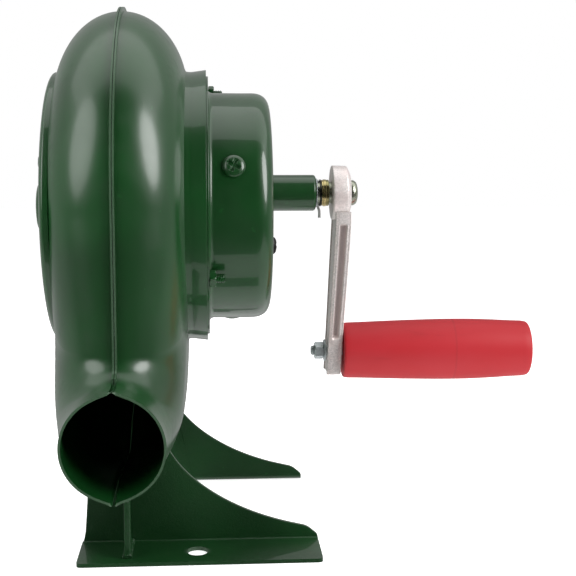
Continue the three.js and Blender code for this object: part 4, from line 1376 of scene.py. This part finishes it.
@dataclass
class GearCase:
    """Dish, drum with rolled edge and flange, studs, nuts, radial screws and the idler's screw
    head."""

    finishes: Finishes
    pan_face: float = 35.3
    pan_depth: float = 9.7
    pan_radius: float = 73.2
    pan_flare: float = 1.2
    pan_wall: float = 1.3
    start: float = 44.8
    end: float = 79.3
    radius: float = 62.0
    wall: float = 1.5
    edge: float = 7.7
    flange: float = 71.0
    flange_thickness: float = 1.3
    fillet: float = 2.6
    stud_circle: float = 67.4
    stud_radius: float = 2.6
    nut_flats: float = 8.6
    screw_x: float = 58.8
    screw_head: float = 5.95
    angles: dict[str, tuple[float, ...]] = field(default_factory=lambda: {"stud": (113, 221, 330),
                                                                          "screw": (22, 142, 262)})
    idler: tuple[float, float] = (-23.78, -20.06)
    hole: float = 10.2
    crank_z: float = 7.14

    def pan(self) -> None:
        """Makes the dish against the scroll."""
        x0, x1 = self.pan_face, self.pan_face + self.pan_depth
        r, w = self.pan_radius, self.pan_wall
        flared = r + self.pan_flare
        section = rounded_loop(
            [
                (x0, 15.3), (x0, r - 5), (x0 - 1.9, r - 2.5), (x0 - 1.9, r + 0.5),
                (x0 + 1.4, r + 0.1), (x1, flared),
                (x1, flared - w), (x0 + w, r - w), (x0 + w, 15.3),
            ],
            [0.2, 1.2, 0.4, 0.4, 1.2, 0.3, 0.3, 1.0, 0.2],
        )
        grid = lathe(section, 220, wobble=0.05)
        wear_and_shade = np.where((grid[..., 0] > x1 - 0.3), 0.5, 0.0)
        Patchwork().grid(grid, loop=True, wear_and_shade=wear_and_shade).build(
            "gear pan", Body.HOUSING, self.finishes.enamel, ("gear_pan",), "green_enamel"
        )

    def drum(self) -> None:
        """Makes the drum, 0.15 mm out of round as a drawn cup is."""
        x0, x1, r, w = self.start, self.end, self.radius, self.wall
        t = self.flange_thickness
        section = rounded_loop(
            [
                (x0, r - w), (x0, self.flange), (x0 + t, self.flange), (x0 + t, r), (x1, r),
                (x1, self.hole),
                (x1 - w, self.hole), (x1 - w, r - w),
            ],
            [0.3, 0.4, 0.4, self.fillet, self.edge * 1.3, 0.3, 0.3, self.edge * 1.1],
            14,
        )
        legs = np.linalg.norm(np.diff(np.concatenate([section, section[:1]]), axis=0), axis=1)
        along = np.concatenate([[0], np.cumsum(legs)])
        extra = np.unique(np.concatenate([along, np.linspace(0, along[-1], 150)]))[:-1]
        closed = np.concatenate([section, section[:1]])
        section = np.stack([np.interp(extra, along, closed[:, k]) for k in (0, 1)], -1)
        grid = lathe(section, 260, wobble=0.06)
        grid[..., 2] += self.crank_z * np.clip((40 - section[:, 1]) / (40 - self.hole), 0,
                                               1)[:, None]
        wear_and_shade = np.where((section[:, 1] > self.flange - 0.5), 0.4, 0.0)[:, None]
        Patchwork().grid(grid, loop=True, wear_and_shade=wear_and_shade + np.zeros(grid.shape[:2])).build(
            "gear drum", Body.HOUSING, self.finishes.enamel, ("gear_drum",), "green_enamel"
        )

    def nut(self, k: int, angle: float) -> None:
        """Makes a stud end with its thread and the painted nut on it.

        Args:
            k: number from 1.
            angle: place on the stud circle.
        """
        y, z = around(self.stud_circle, angle)
        seat, corner = self.start + self.flange_thickness + 0.1, self.nut_flats / math.sqrt(3)
        a = np.radians(np.linspace(0, 360, 96, endpoint=False))
        flat = self.nut_flats / 2 / np.cos((a + math.pi / 6) % (math.pi / 3) - math.pi / 6)
        a = a - math.radians(angle)
        rows = []
        for x, cap in ((0.0, corner - 0.5), (0.35, corner), (2.75, corner), (3.2, corner - 0.55)):
            r = np.minimum(flat, cap)
            rows.append(np.stack([seat + x + 0 * a, y - r * np.cos(a), z + r * np.sin(a)], -1))
        bore = self.stud_radius + 0.15
        for x, r in ((3.25, bore + 0.5), (2.7, bore), (0.0, bore)):
            rows.append(np.stack([seat + x + 0 * a, y - r * np.cos(a), z + r * np.sin(a)], -1))
        grid = np.array(rows)
        wear_and_shade = np.zeros(grid.shape[:2])
        wear_and_shade[3] = 0.35
        Patchwork().grid(grid, loop=True, wear_and_shade=wear_and_shade).build(
            f"flange nut {k}", Body.HOUSING, self.finishes.enamel, (f"flange_nut_{k}",),
            "enamelled_screw", 28
        )
        tip, foot = self.start + self.flange_thickness + 7.95, self.start - 0.3
        turns = np.linspace(0, 1, 150)
        x = foot + (tip - foot) * turns
        pitch = 0.95
        depth = np.clip((tip - 0.3 - x) / 0.5, 0, 1)
        around_axis = np.linspace(0, FULL_TURN, 40, endpoint=False)[None, :]
        phase = (x[:, None] / pitch + around_axis / FULL_TURN) % 1
        thread = np.abs(phase * 2 - 1)
        r = np.where(tip - x < 0.4, self.stud_radius - 0.7,
                     self.stud_radius - 0.08)[:, None] - 0.5 * (1 - thread) * depth[:, None]
        grid = np.stack([x[:, None] + 0 * r, y - r * np.cos(around_axis),
                         z + r * np.sin(around_axis)], -1)
        ends = [np.repeat(np.array([[[v, y, z]]]), 40, 1) for v in (foot, tip)]
        Patchwork().grid(np.concatenate([ends[0], grid, ends[1]]), wear_and_shade=0.25).build(
            f"flange stud {k}", Body.HOUSING, self.finishes.enamel, (f"flange_stud_{k}",),
            "enamelled_screw"
        )

    def build(self) -> None:
        """Makes the case and everything bolted to it."""
        self.pan()
        self.drum()
        for k, angle in enumerate(self.angles["stud"], 1):
            self.nut(k, angle)
        for k, angle in enumerate(self.angles["screw"], 1):
            head = turned_frame(cross_head(self.screw_head, 2.65), angle, self.radius + 0.05,
                                self.screw_x)
            edge = np.zeros(head.shape[:2])
            edge[34:40] = 0.5
            Patchwork().grid(head, wear_and_shade=edge).build(
                f"rim screw {k}", Body.HOUSING, self.finishes.enamel, (f"rim_screw_{k}",),
                "enamelled_screw"
            )
        y, z = self.idler
        head = cross_head(4.8, 2.85, depth=1.5)
        grid = np.stack([self.end + 0.3 + head[..., 2], y + head[..., 0], z + head[..., 1]], -1)
        shank = lathe(np.array([(40.7, 0), (40.7, 2.95), (self.end + 0.5, 2.95),
                                (self.end + 0.5, 0)]), 64, y, z)
        Patchwork().grid(grid).grid(shank).build(
            "idler pin", Body.HOUSING, self.finishes.dark, ("idler_pin",), "dark_fastener"
        )


# ---------------------------------------------------------------- crank shaft parts


@dataclass
class ShaftParts:
    """Painted sleeve, washers, split pin, spacer and the shaft's domed end, all on the crank
    axis."""

    finishes: Finishes
    z: float = 7.14
    face: float = 79.3
    sleeve_end: float = 105.3
    sleeve_radius: float = 10.0
    sleeve_bore: float = 8.3
    pin_lean: float = 0.75

    def _ring(self, x0: float, x1: float, bore: float, r: float, bevel: float,
              sides: int = 120) -> np.ndarray:
        """A round ring with softened edges.

        Args:
            x0: one face.
            x1: other face.
            bore: inner radius.
            r: outer radius.
            bevel: edge size.
            sides: points round it.

        Returns:
            Grid that closes along rows and columns.
        """
        section = rounded_loop([(x0, bore), (x0, r), (x1, r), (x1, bore)], bevel)
        return lathe(section, sides, z=self.z)

    def sleeve(self) -> None:
        """Makes the tube and the paint fillet at its root."""
        x0, x1, r, bore = self.face - 4.75, self.sleeve_end, self.sleeve_radius, self.sleeve_bore
        section = rounded_loop(
            [(x0, bore), (x0, 15.9), (x0 + 2.9, 15.9), (x0 + 2.9, r), (x1 - 0.9, r),
             (x1, r - 0.9), (x1, bore)],
            [0.2, 0.3, 0.3, 0.2, 0.5, 0.5, 0.3],
        )
        root = rounded_loop([(self.face + 0.02, r - 0.3), (self.face + 0.02, r + 1.0),
                             (self.face + 1.2, r - 0.3)], 0.4)
        work = Patchwork().grid(lathe(section, 160, z=self.z), loop=True)
        work.grid(lathe(root, 160, z=self.z, wobble=0.12), loop=True)
        work.build("crank sleeve", Body.HOUSING, self.finishes.enamel, ("crank_sleeve",),
                   "green_enamel")

    def split_pin(self) -> None:
        """Makes the pin: two flat legs through the shaft, one bent away behind and one hanging
        straight down."""
        x, z = 106.93, self.z
        leg = rounded([(0.5, z + 6.2), (0.4, z - 6.0), (0.2, z - 9.6), (-0.3, z - 13.9)], 2.5, 8)
        lean = self.pin_lean * smooth((z - 7.6 - leg[:, 1]) / 3)
        work = Patchwork().grid(tube(np.stack([x + lean, leg[:, 0], leg[:, 1]], -1), 0.74, 14))
        short = rounded([(-0.7, z + 6.2), (-0.7, z - 5.6), (-1.2, z - 6.9)], 1.5, 8)
        work.grid(tube(np.stack([x + 0 * short[:, 0], short[:, 0], short[:, 1]], -1), 0.55, 14))
        a = np.radians(np.linspace(-60, 240, 26))
        eye = np.stack([x + 0 * a, 1.2 * np.cos(a), z + 6.3 + 0.7 * np.sin(a)], -1)
        work.grid(tube(eye, 0.45, 12))
        work.build("split pin", Body.CRANK, self.finishes.bright, ("cotter_pin",),
                   "zinc_fastener")

    def build(self) -> None:
        """Makes every part on the shaft."""
        f = self.finishes
        self.sleeve()
        self.split_pin()
        rings = [
            ("thrust washer", "thrust_washer", "zinc_fastener", f.zinc,
             [(105.6, 106.1, 6.3, 8.0, 0.15)]),
            ("spacer washer", "spacer_washer", "dark_fastener", f.dark,
             [(107.75, 108.3, 6.3, 7.5, 0.15)]),
            (
                "crank spacer", "crank_spacer", "yellow_zinc", f.yellow,
                [(108.62, 109.75, 6.3, 7.2, 0.35), (109.6, 111.2, 6.3, 7.5, 0.3),
                 (111.05, 112.68, 6.3, 7.3, 0.3)],
            ),
        ]
        for name, node, slot, finish, sizes in rings:
            work = Patchwork()
            for k, size in enumerate(sizes):
                # The crank spacer's last ring, next to the arm's hub, is darkened all over:
                # painted shade and a painted dark reflection, not wear.
                work.grid(self._ring(*size), loop=True, wear_and_shade=0.9 if k == 2 else 0.0)
            work.build(name, Body.CRANK, finish, (node,), slot)
        dome = rounded([(124.45, 5.95), (124.45, 7.1), (126.4, 7.1), (128.2, 6.0), (129.1, 2.8),
                        (129.15, 0)], [0, 0.3, 1.2, 1.2, 1.2, 0], 6)
        section = np.concatenate([[(60.85, 0), (60.85, 5.95)], dome])
        end = lathe(section, 96, z=self.z)
        dent = smooth((2.2 - np.hypot(end[..., 1] - 0.8, end[..., 2] - self.z - 0.6)) / 1.6)
        end[..., 0] -= 0.45 * dent * (end[..., 0] > 128)
        Patchwork().grid(end).build("crank shaft", Body.CRANK, f.olive, ("crank_shaft",),
                                    "gear_steel")


# ---------------------------------------------------------------- crank arm


@dataclass
class CrankArm:
    """The cast arm: round hub, leaning I-section beam and squared end.

    The beam is a closed section loop carried down Z. At each height its half-width, its two X
    faces and the
    depth of the groove on either side are numbers, so the surface is (x(v, z), y(v, z), z).
    """

    finishes: Finishes
    hub_z: float = 7.14
    hub_radius: float = 15.2
    hub_back: float = 114.3
    hub_face: float = 124.9
    back: float = 115.7
    thick: float = 8.9
    lean: float = 0.054
    half_top: float = 12.0
    half_end: float = 9.5
    strip: float = 2.3
    groove: float = 3.0
    top_z: float = -3.0
    end_z: float = -94.6

    def hub(self) -> np.ndarray:
        """The hub: a chamfered drum with a raised ring at the front and a ragged parting edge at
        the back.

        Returns:
            Closed grid.
        """
        r, x0, x1 = self.hub_radius, self.hub_back, self.hub_face
        section = rounded_loop(
            [(x0, 6.4), (x0, r - 0.5), (x0 + 1.0, r + 0.0), (x1 - 2.2, r - 0.3),
             (x1 - 0.2, r - 4.6), (x1, 8.2), (x1 - 0.5, 7.4), (x1 - 0.5, 6.4)],
            [0.2, 0.4, 0.5, 0.9, 0.9, 0.4, 0.3, 0.2], 6,
        )
        grid = lathe(section, 200, z=self.hub_z)
        a = np.arctan2(grid[..., 2] - self.hub_z, -grid[..., 1])
        flash = np.exp(-(((grid[..., 0] - x0 - 0.7) / 0.5) ** 2)) * (0.35 + 0.35 * np.sin(13 * a)
                                                                     * np.sin(5 * a + 1))
        push = np.clip(flash, 0, 0.5) * (grid[..., 2] > self.hub_z)
        scale = 1 + push / np.maximum(np.hypot(grid[..., 1], grid[..., 2] - self.hub_z), 1)
        scale = np.minimum(scale, 15.19
                           / np.maximum(np.hypot(grid[..., 1], grid[..., 2] - self.hub_z), 1e-6))
        grid[..., 1] *= np.where(push > 0, scale, 1)
        grid[..., 2] = np.where(push > 0, self.hub_z + (grid[..., 2] - self.hub_z) * scale,
                                grid[..., 2])
        return grid

    def beam(self) -> tuple[np.ndarray, np.ndarray]:
        """The beam with its groove, which starts and ends in a rounded pocket.

        Returns:
            Grid and the wear on it, which is dirt in the grooves.
        """
        z = np.concatenate([np.linspace(self.top_z, -9, 8), np.linspace(-9.3, -12, 10),
                            np.linspace(-13, -66, 40), np.linspace(-67, self.end_z, 40)])
        drop = np.clip(-9.0 - z, 0, None)
        face_back = self.back - self.lean * drop
        thick = self.thick - 0.8 * smooth((-9 - z) / 80)
        half = self.half_top + (self.half_end - self.half_top) * smooth((-9 - z) / 66)
        depth = self.groove * smooth((-9.4 - z) / 1.8) * smooth((z + 75) / 3)
        corner = 0.7
        end = np.clip((z - self.end_z) / corner, 0, 1)
        tuck = corner * (1 - np.sqrt(1 - (1 - end) ** 2))
        c = corner
        rim = [(c * (1 - math.sin(t)), c * (1 - math.cos(t)))
               for t in np.radians([0, 30, 60, 90])]
        strip_at = [self.strip - 0.35, self.strip + 0.1, self.strip + 0.75, self.strip + 1.2]
        sunk = [0.0, 0.12, 0.88, 1.0]
        loop_x, loop_y, low = [], [], []
        for side in (-1, 1):
            for dx, dy in rim:
                loop_x.append((0, dx)), loop_y.append((side, dy)), low.append(0.0)
            for at, down in zip(strip_at, sunk):
                loop_x.append((0, at)), loop_y.append((side, 0.0)), low.append(down)
            for at, down in zip(reversed(strip_at), reversed(sunk)):
                loop_x.append((1, at)), loop_y.append((side, 0.0)), low.append(down)
            for dx, dy in reversed(rim):
                loop_x.append((1, dx)), loop_y.append((side, dy)), low.append(0.0)
        n = len(loop_x) // 2
        order = list(range(n)) + list(range(2 * n - 1, n - 1, -1))
        rows = []
        for k in order:
            (from_front, dx), (side, dy), down = loop_x[k], loop_y[k], low[k]
            x = face_back + tuck + dx if not from_front else face_back + thick - tuck - dx
            rows.append(np.stack([x, side * (half - dy - tuck - depth * down), z], -1))
        grid = np.array(rows).transpose(1, 0, 2)
        wear_and_shade = np.array([low[k] for k in order])[None, :] * (depth / self.groove)[:, None]
        ends = [np.repeat(grid[i].mean(0)[None, None], grid.shape[1], 1) for i in (0, -1)]
        pad = np.zeros((1, grid.shape[1]))
        return np.concatenate([ends[0], grid, ends[1]]), np.concatenate([pad, wear_and_shade, pad])

    def build(self) -> None:
        """Makes the arm as one casting."""
        grid, wear_and_shade = self.beam()
        Patchwork().grid(self.hub(), loop=True).grid(grid, wear_and_shade=wear_and_shade).build(
            "crank arm", Body.CRANK, self.finishes.cast_alloy, ("crank_arm",), "cast_aluminium",
            32
        )


# ---------------------------------------------------------------- grip and its bolt


@dataclass
class Grip:
    """Moulded grip, its bolt, washer and hexagon nut."""

    finishes: Finishes
    z: float = -82.06
    start: float = 120.85
    end: float = 227.35

    def grip(self) -> None:
        """Makes the grip: a spline belly through five radii, round shoulders, a parting groove
        and a bolt recess."""
        length = self.end - self.start
        share = np.linspace(0.03, 0.965, 120)
        belly = np.interp(share, [0, 0.25, 0.42, 0.58, 0.75, 1.0],
                          [15.5, 16.5, 17.0, 17.3, 17.0, 15.45])
        belly = np.convolve(np.pad(belly, 12, "edge"), np.ones(25) / 25, "valid")
        seam = 0.07 * np.exp(-(((share - 0.588) * length / 0.35) ** 2))
        body = np.stack([self.start + share * length, belly - seam], -1)
        shoulder = rounded([(self.start, 4.2), (self.start, 15.4), tuple(body[0])], [0, 1.6, 0],
                           10)
        outer = rounded([tuple(body[-1]), (self.end, 15.2), (self.end, 7.6), (self.end - 8, 7.2),
                         (self.end - 8, 3.4)], [0, 1.7, 0.8, 0.6, 0], 10)
        section = np.concatenate([shoulder[:-1], body, outer[1:], [(self.start, 3.4)]])
        wear_and_shade = np.zeros(len(section))
        wear_and_shade[len(shoulder) - 1 : len(shoulder) - 1 + len(body)] = np.clip(seam * 5, 0, 1)
        grid = lathe(section, 160, z=self.z)
        Patchwork().grid(grid, loop=True, wear_and_shade=wear_and_shade[:, None] + np.zeros(grid.shape[:2])).build(
            "handle grip", Body.GRIP, self.finishes.red, ("handle_grip",), "red_plastic"
        )

    def bolt(self) -> None:
        """Makes the bolt end with its thread and its head."""
        tip, foot, r = 103.1, 112.0, 2.95
        x = np.linspace(foot, tip, 160)
        a = np.linspace(0, FULL_TURN, 40, endpoint=False)[None, :]
        phase = (x[:, None] / 1.0 + a / FULL_TURN) % 1
        fade = np.clip((x - tip - 0.3) / 0.6, 0, 1)[:, None]
        rad = r - 0.55 * (1 - fade) - 0.5 * (1 - np.abs(phase * 2 - 1)) * fade
        grid = np.stack([x[:, None] + 0 * rad, -rad * np.cos(a), self.z + rad * np.sin(a)], -1)
        ends = [np.repeat(np.array([[[v, 0, self.z]]]), 40, 1) for v in (foot, tip)]
        work = Patchwork().grid(np.concatenate([ends[0], grid, ends[1]]), wear_and_shade=0.3)
        seat = self.end - 7.9
        head = rounded([(seat, 5.3), (seat + 3.0, 5.3), (seat + 4.0, 3.5), (seat + 4.1, 0)],
                       [0, 0.8, 0.8, 0])
        head = np.concatenate([[(foot - 0.5, 0), (foot - 0.5, r), (seat, r)], head])
        work.grid(lathe(head, 64, z=self.z)).build(
            "handle bolt", Body.CRANK, self.finishes.zinc, ("handle_bolt",), "zinc_fastener"
        )

    def nut(self, box: tuple[np.ndarray, np.ndarray],
            washer_box: tuple[np.ndarray, np.ndarray]) -> None:
        """Makes the nut and washer where the CAD ones are.

        Args:
            box: lowest and highest corner of the CAD nut, millimetres in the blower's frame.
            washer_box: the same for the washer.
        """
        x0, x1 = box[0][0], box[1][0]
        flats = min(box[1][1] - box[0][1], box[1][2] - box[0][2])
        corner = flats / math.sqrt(3)
        pointed_up = (box[1][2] - box[0][2]) > (box[1][1] - box[0][1])
        a = np.radians(np.linspace(0, 360, 120, endpoint=False))
        turn = 0 if pointed_up else math.pi / 6
        flat = flats / 2 / np.cos((a + turn + math.pi / 6) % (math.pi / 3) - math.pi / 6)
        rows = []
        for x, cap in ((x0, corner - 0.7), (x0 + 0.5, corner), (x1 - 0.5, corner),
                       (x1, corner - 0.7)):
            r = np.minimum(flat, cap)
            rows.append(np.stack([x + 0 * a, -r * np.cos(a), self.z + r * np.sin(a)], -1))
        for x, r in ((x1 + 0.0, 3.5), (x1 - 0.6, 3.0), (x0 + 0.6, 3.0), (x0, 3.5)):
            rows.append(np.stack([x + 0 * a, -r * np.cos(a), self.z + r * np.sin(a)], -1))
        Patchwork().grid(np.array(rows), loop=True).build(
            "handle nut", Body.CRANK, self.finishes.zinc, ("handle_nut",), "zinc_fastener", 26
        )
        w0, w1, r = washer_box[0][0], washer_box[1][0], (washer_box[1][2] - washer_box[0][2]) / 2
        section = rounded_loop([(w0, 3.2), (w0, r), (w1, r), (w1, 3.2)], 0.25)
        Patchwork().grid(lathe(section, 96, z=self.z), loop=True).build(
            "handle washer", Body.CRANK, self.finishes.zinc, ("handle_washer",), "zinc_fastener"
        )

    def build(self) -> None:
        """Makes the grip and its fasteners."""
        self.grip()
        self.bolt()
        boxes = [[(np.array(corner) - FAN_AXIS) * 1000 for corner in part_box(node)]
                 for node in ("handle_nut", "handle_washer")]
        self.nut(*boxes)


# ---------------------------------------------------------------- hidden pieces and the studio


def dress_frame(finishes: Finishes) -> None:
    """Gives every CAD node a procedural finish by its material slot.

    Args:
        finishes: the blower's finishes.
    """
    by_slot = finishes.by_slot()
    for name, node in frame["nodes"].items():
        old = node.data.materials[0].name.split(".")[0] if node.data.materials else ""
        node.data.materials.clear()
        node.data.materials.append(by_slot.get(old, slot_of(name, by_slot)))
    log.info("dressed %d frame nodes", len(frame["nodes"]))


def slot_of(name: str, by_slot: dict[str, bpy.types.Material]) -> bpy.types.Material:
    """The finish of a CAD node by what it is called.

    Args:
        name: node name.
        by_slot: slot name to material.

    Returns:
        The material.
    """
    words = [
        ("bush", "bearing_bronze"), ("gear_plate", "cast_plate"), ("blade", "fan_sheet"),
        ("disc", "fan_sheet"),
        ("fan_", "gear_steel"), ("idler_pin", "dark_fastener"), ("idler", "gear_steel"),
        ("crank_gear", "gear_steel"),
        ("crank_shaft", "dark_fastener"), ("handle", "zinc_fastener"),
        ("plate_screw", "zinc_fastener"),
    ]
    return by_slot[next((slot for word, slot in words if word in name), "green_enamel")]


@dataclass
class Studio:
    """Pale floor, bright surroundings behind, soft boxes and the camera."""

    camera: tuple[float, float, float] = (0.0459, -0.6693, 0.0373)
    lens: float = 75.0
    yaw: float = 0.066
    pitch: float = 0.124
    room_edge: float = -0.2
    table_edge: float = -0.69
    behind: float = 0.42
    below: float = 0.75
    fill: float = 0.8

    def light(self, name: str, place: tuple, aim: tuple, size: tuple, power: float,
              spread: float = 180.0) -> bpy.types.Object:
        """Adds a soft box.

        Args:
            name: plain words.
            place: metres.
            aim: point it faces.
            size: width and height.
            power: watts.
            spread: degrees.

        Returns:
            The lamp.
        """
        data = bpy.data.lights.new(name, "AREA")
        data.shape = "ELLIPSE" if "side" in name else "RECTANGLE"
        data.size, data.size_y, data.energy = size[0], size[1], power
        data.spread = math.radians(spread)
        lamp = bpy.data.objects.new(name, data)
        lamp.location = place
        way = np.array(aim) - np.array(place)
        flat = math.hypot(way[0], way[1])
        lamp.rotation_euler = Euler((math.atan2(flat, -way[2]), 0, math.atan2(-way[0], way[1])))
        bpy.context.scene.collection.objects.link(lamp)
        return lamp

    def world(self) -> None:
        """Plain white to look at; as light, white behind and underneath and dark where the room
        is."""
        world = bpy.data.worlds.new("studio surroundings")
        g = Graph(world, "Generated")
        split = g.node("ShaderNodeSeparateXYZ", None, {0: g.place})
        y, z = Signal(g, split.outputs["Y"]), Signal(g, split.outputs["Z"])
        behind = y.band(self.room_edge - 0.25, self.room_edge + 0.3)
        table = y.band(self.table_edge - 0.012,
                       self.table_edge + 0.012) * (0.0 - z).band(0.3, 0.5)
        lit = (behind * self.behind).larger(table * self.below)
        seen = Signal(g, g.node("ShaderNodeLightPath").outputs["Is Camera Ray"])
        strength = lit * (1.0 - seen) + seen
        back = g.node("ShaderNodeBackground", None,
                      {"Color": (1.0, 1.0, 1.0, 1.0), "Strength": strength})
        g.node("ShaderNodeOutputWorld", None, {"Surface": back.outputs[0]})
        bpy.context.scene.world = world

    def build(self) -> None:
        """Makes the floor, lights, surroundings and camera."""
        span = np.linspace(-3.0, 3.0, 13)
        x, y = np.meshgrid(span, span)
        mesh = bpy.data.meshes.new("floor")
        points = np.stack([x, y, np.full_like(x, -0.0002)], -1).reshape(-1, 3)
        i = (np.arange(12)[:, None] * 13 + np.arange(12)[None]).reshape(-1)
        mesh.from_pydata(points.tolist(), [], np.stack([i, i + 1, i + 14, i + 13], -1).tolist())
        mesh.materials.append(Paper().build())
        floor = bpy.data.objects.new("floor", mesh)
        bpy.context.scene.collection.objects.link(floor)
        floor.visible_glossy = False
        self.world()
        self.light("overhead soft box", (-0.05, 0.1, 1.15), (-0.05, 0.1, 0.0), (2.6, 0.9), 7.5)
        self.light("left side soft box", (-0.8, -0.5, 0.6), (-0.09, 0.0, 0.18), (0.66, 0.95), 3.6,
                   150)
        self.light("right side soft box", (0.72, -0.5, 0.62), (-0.05, 0.0, 0.18), (0.5, 0.8), 5.6,
                   150)
        fill = self.light("front fill", (0.1, -1.1, 0.5), (-0.02, 0.0, 0.15), (1.4, 1.0),
                          self.fill)
        fill.visible_glossy = False
        data = bpy.data.cameras.new("camera")
        data.lens, data.sensor_width, data.clip_start = self.lens, 36.0, 0.01
        camera = bpy.data.objects.new("camera", data)
        camera.location = FAN_AXIS + np.array(self.camera)
        camera.rotation_euler = Euler((math.pi / 2 - self.pitch, 0, -self.yaw))
        bpy.context.scene.collection.objects.link(camera)
        bpy.context.scene.camera = camera
        bpy.context.scene.view_settings.view_transform = "Standard"


def note_size() -> None:
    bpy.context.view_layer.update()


def main() -> None:
    """Builds the blower, then the studio round it."""
    logging.basicConfig(level=logging.INFO, format="%(message)s")
    note_size()
    finishes = Finishes()
    dress_frame(finishes)
    for part in (Scroll, IntakeSide, Feet, GearCase, ShaftParts, CrankArm, Grip):
        part(finishes).build()
        log.info("%s done", part.__name__)
    Studio().build()
    note_size()


if __name__ == "__main__":
    main()
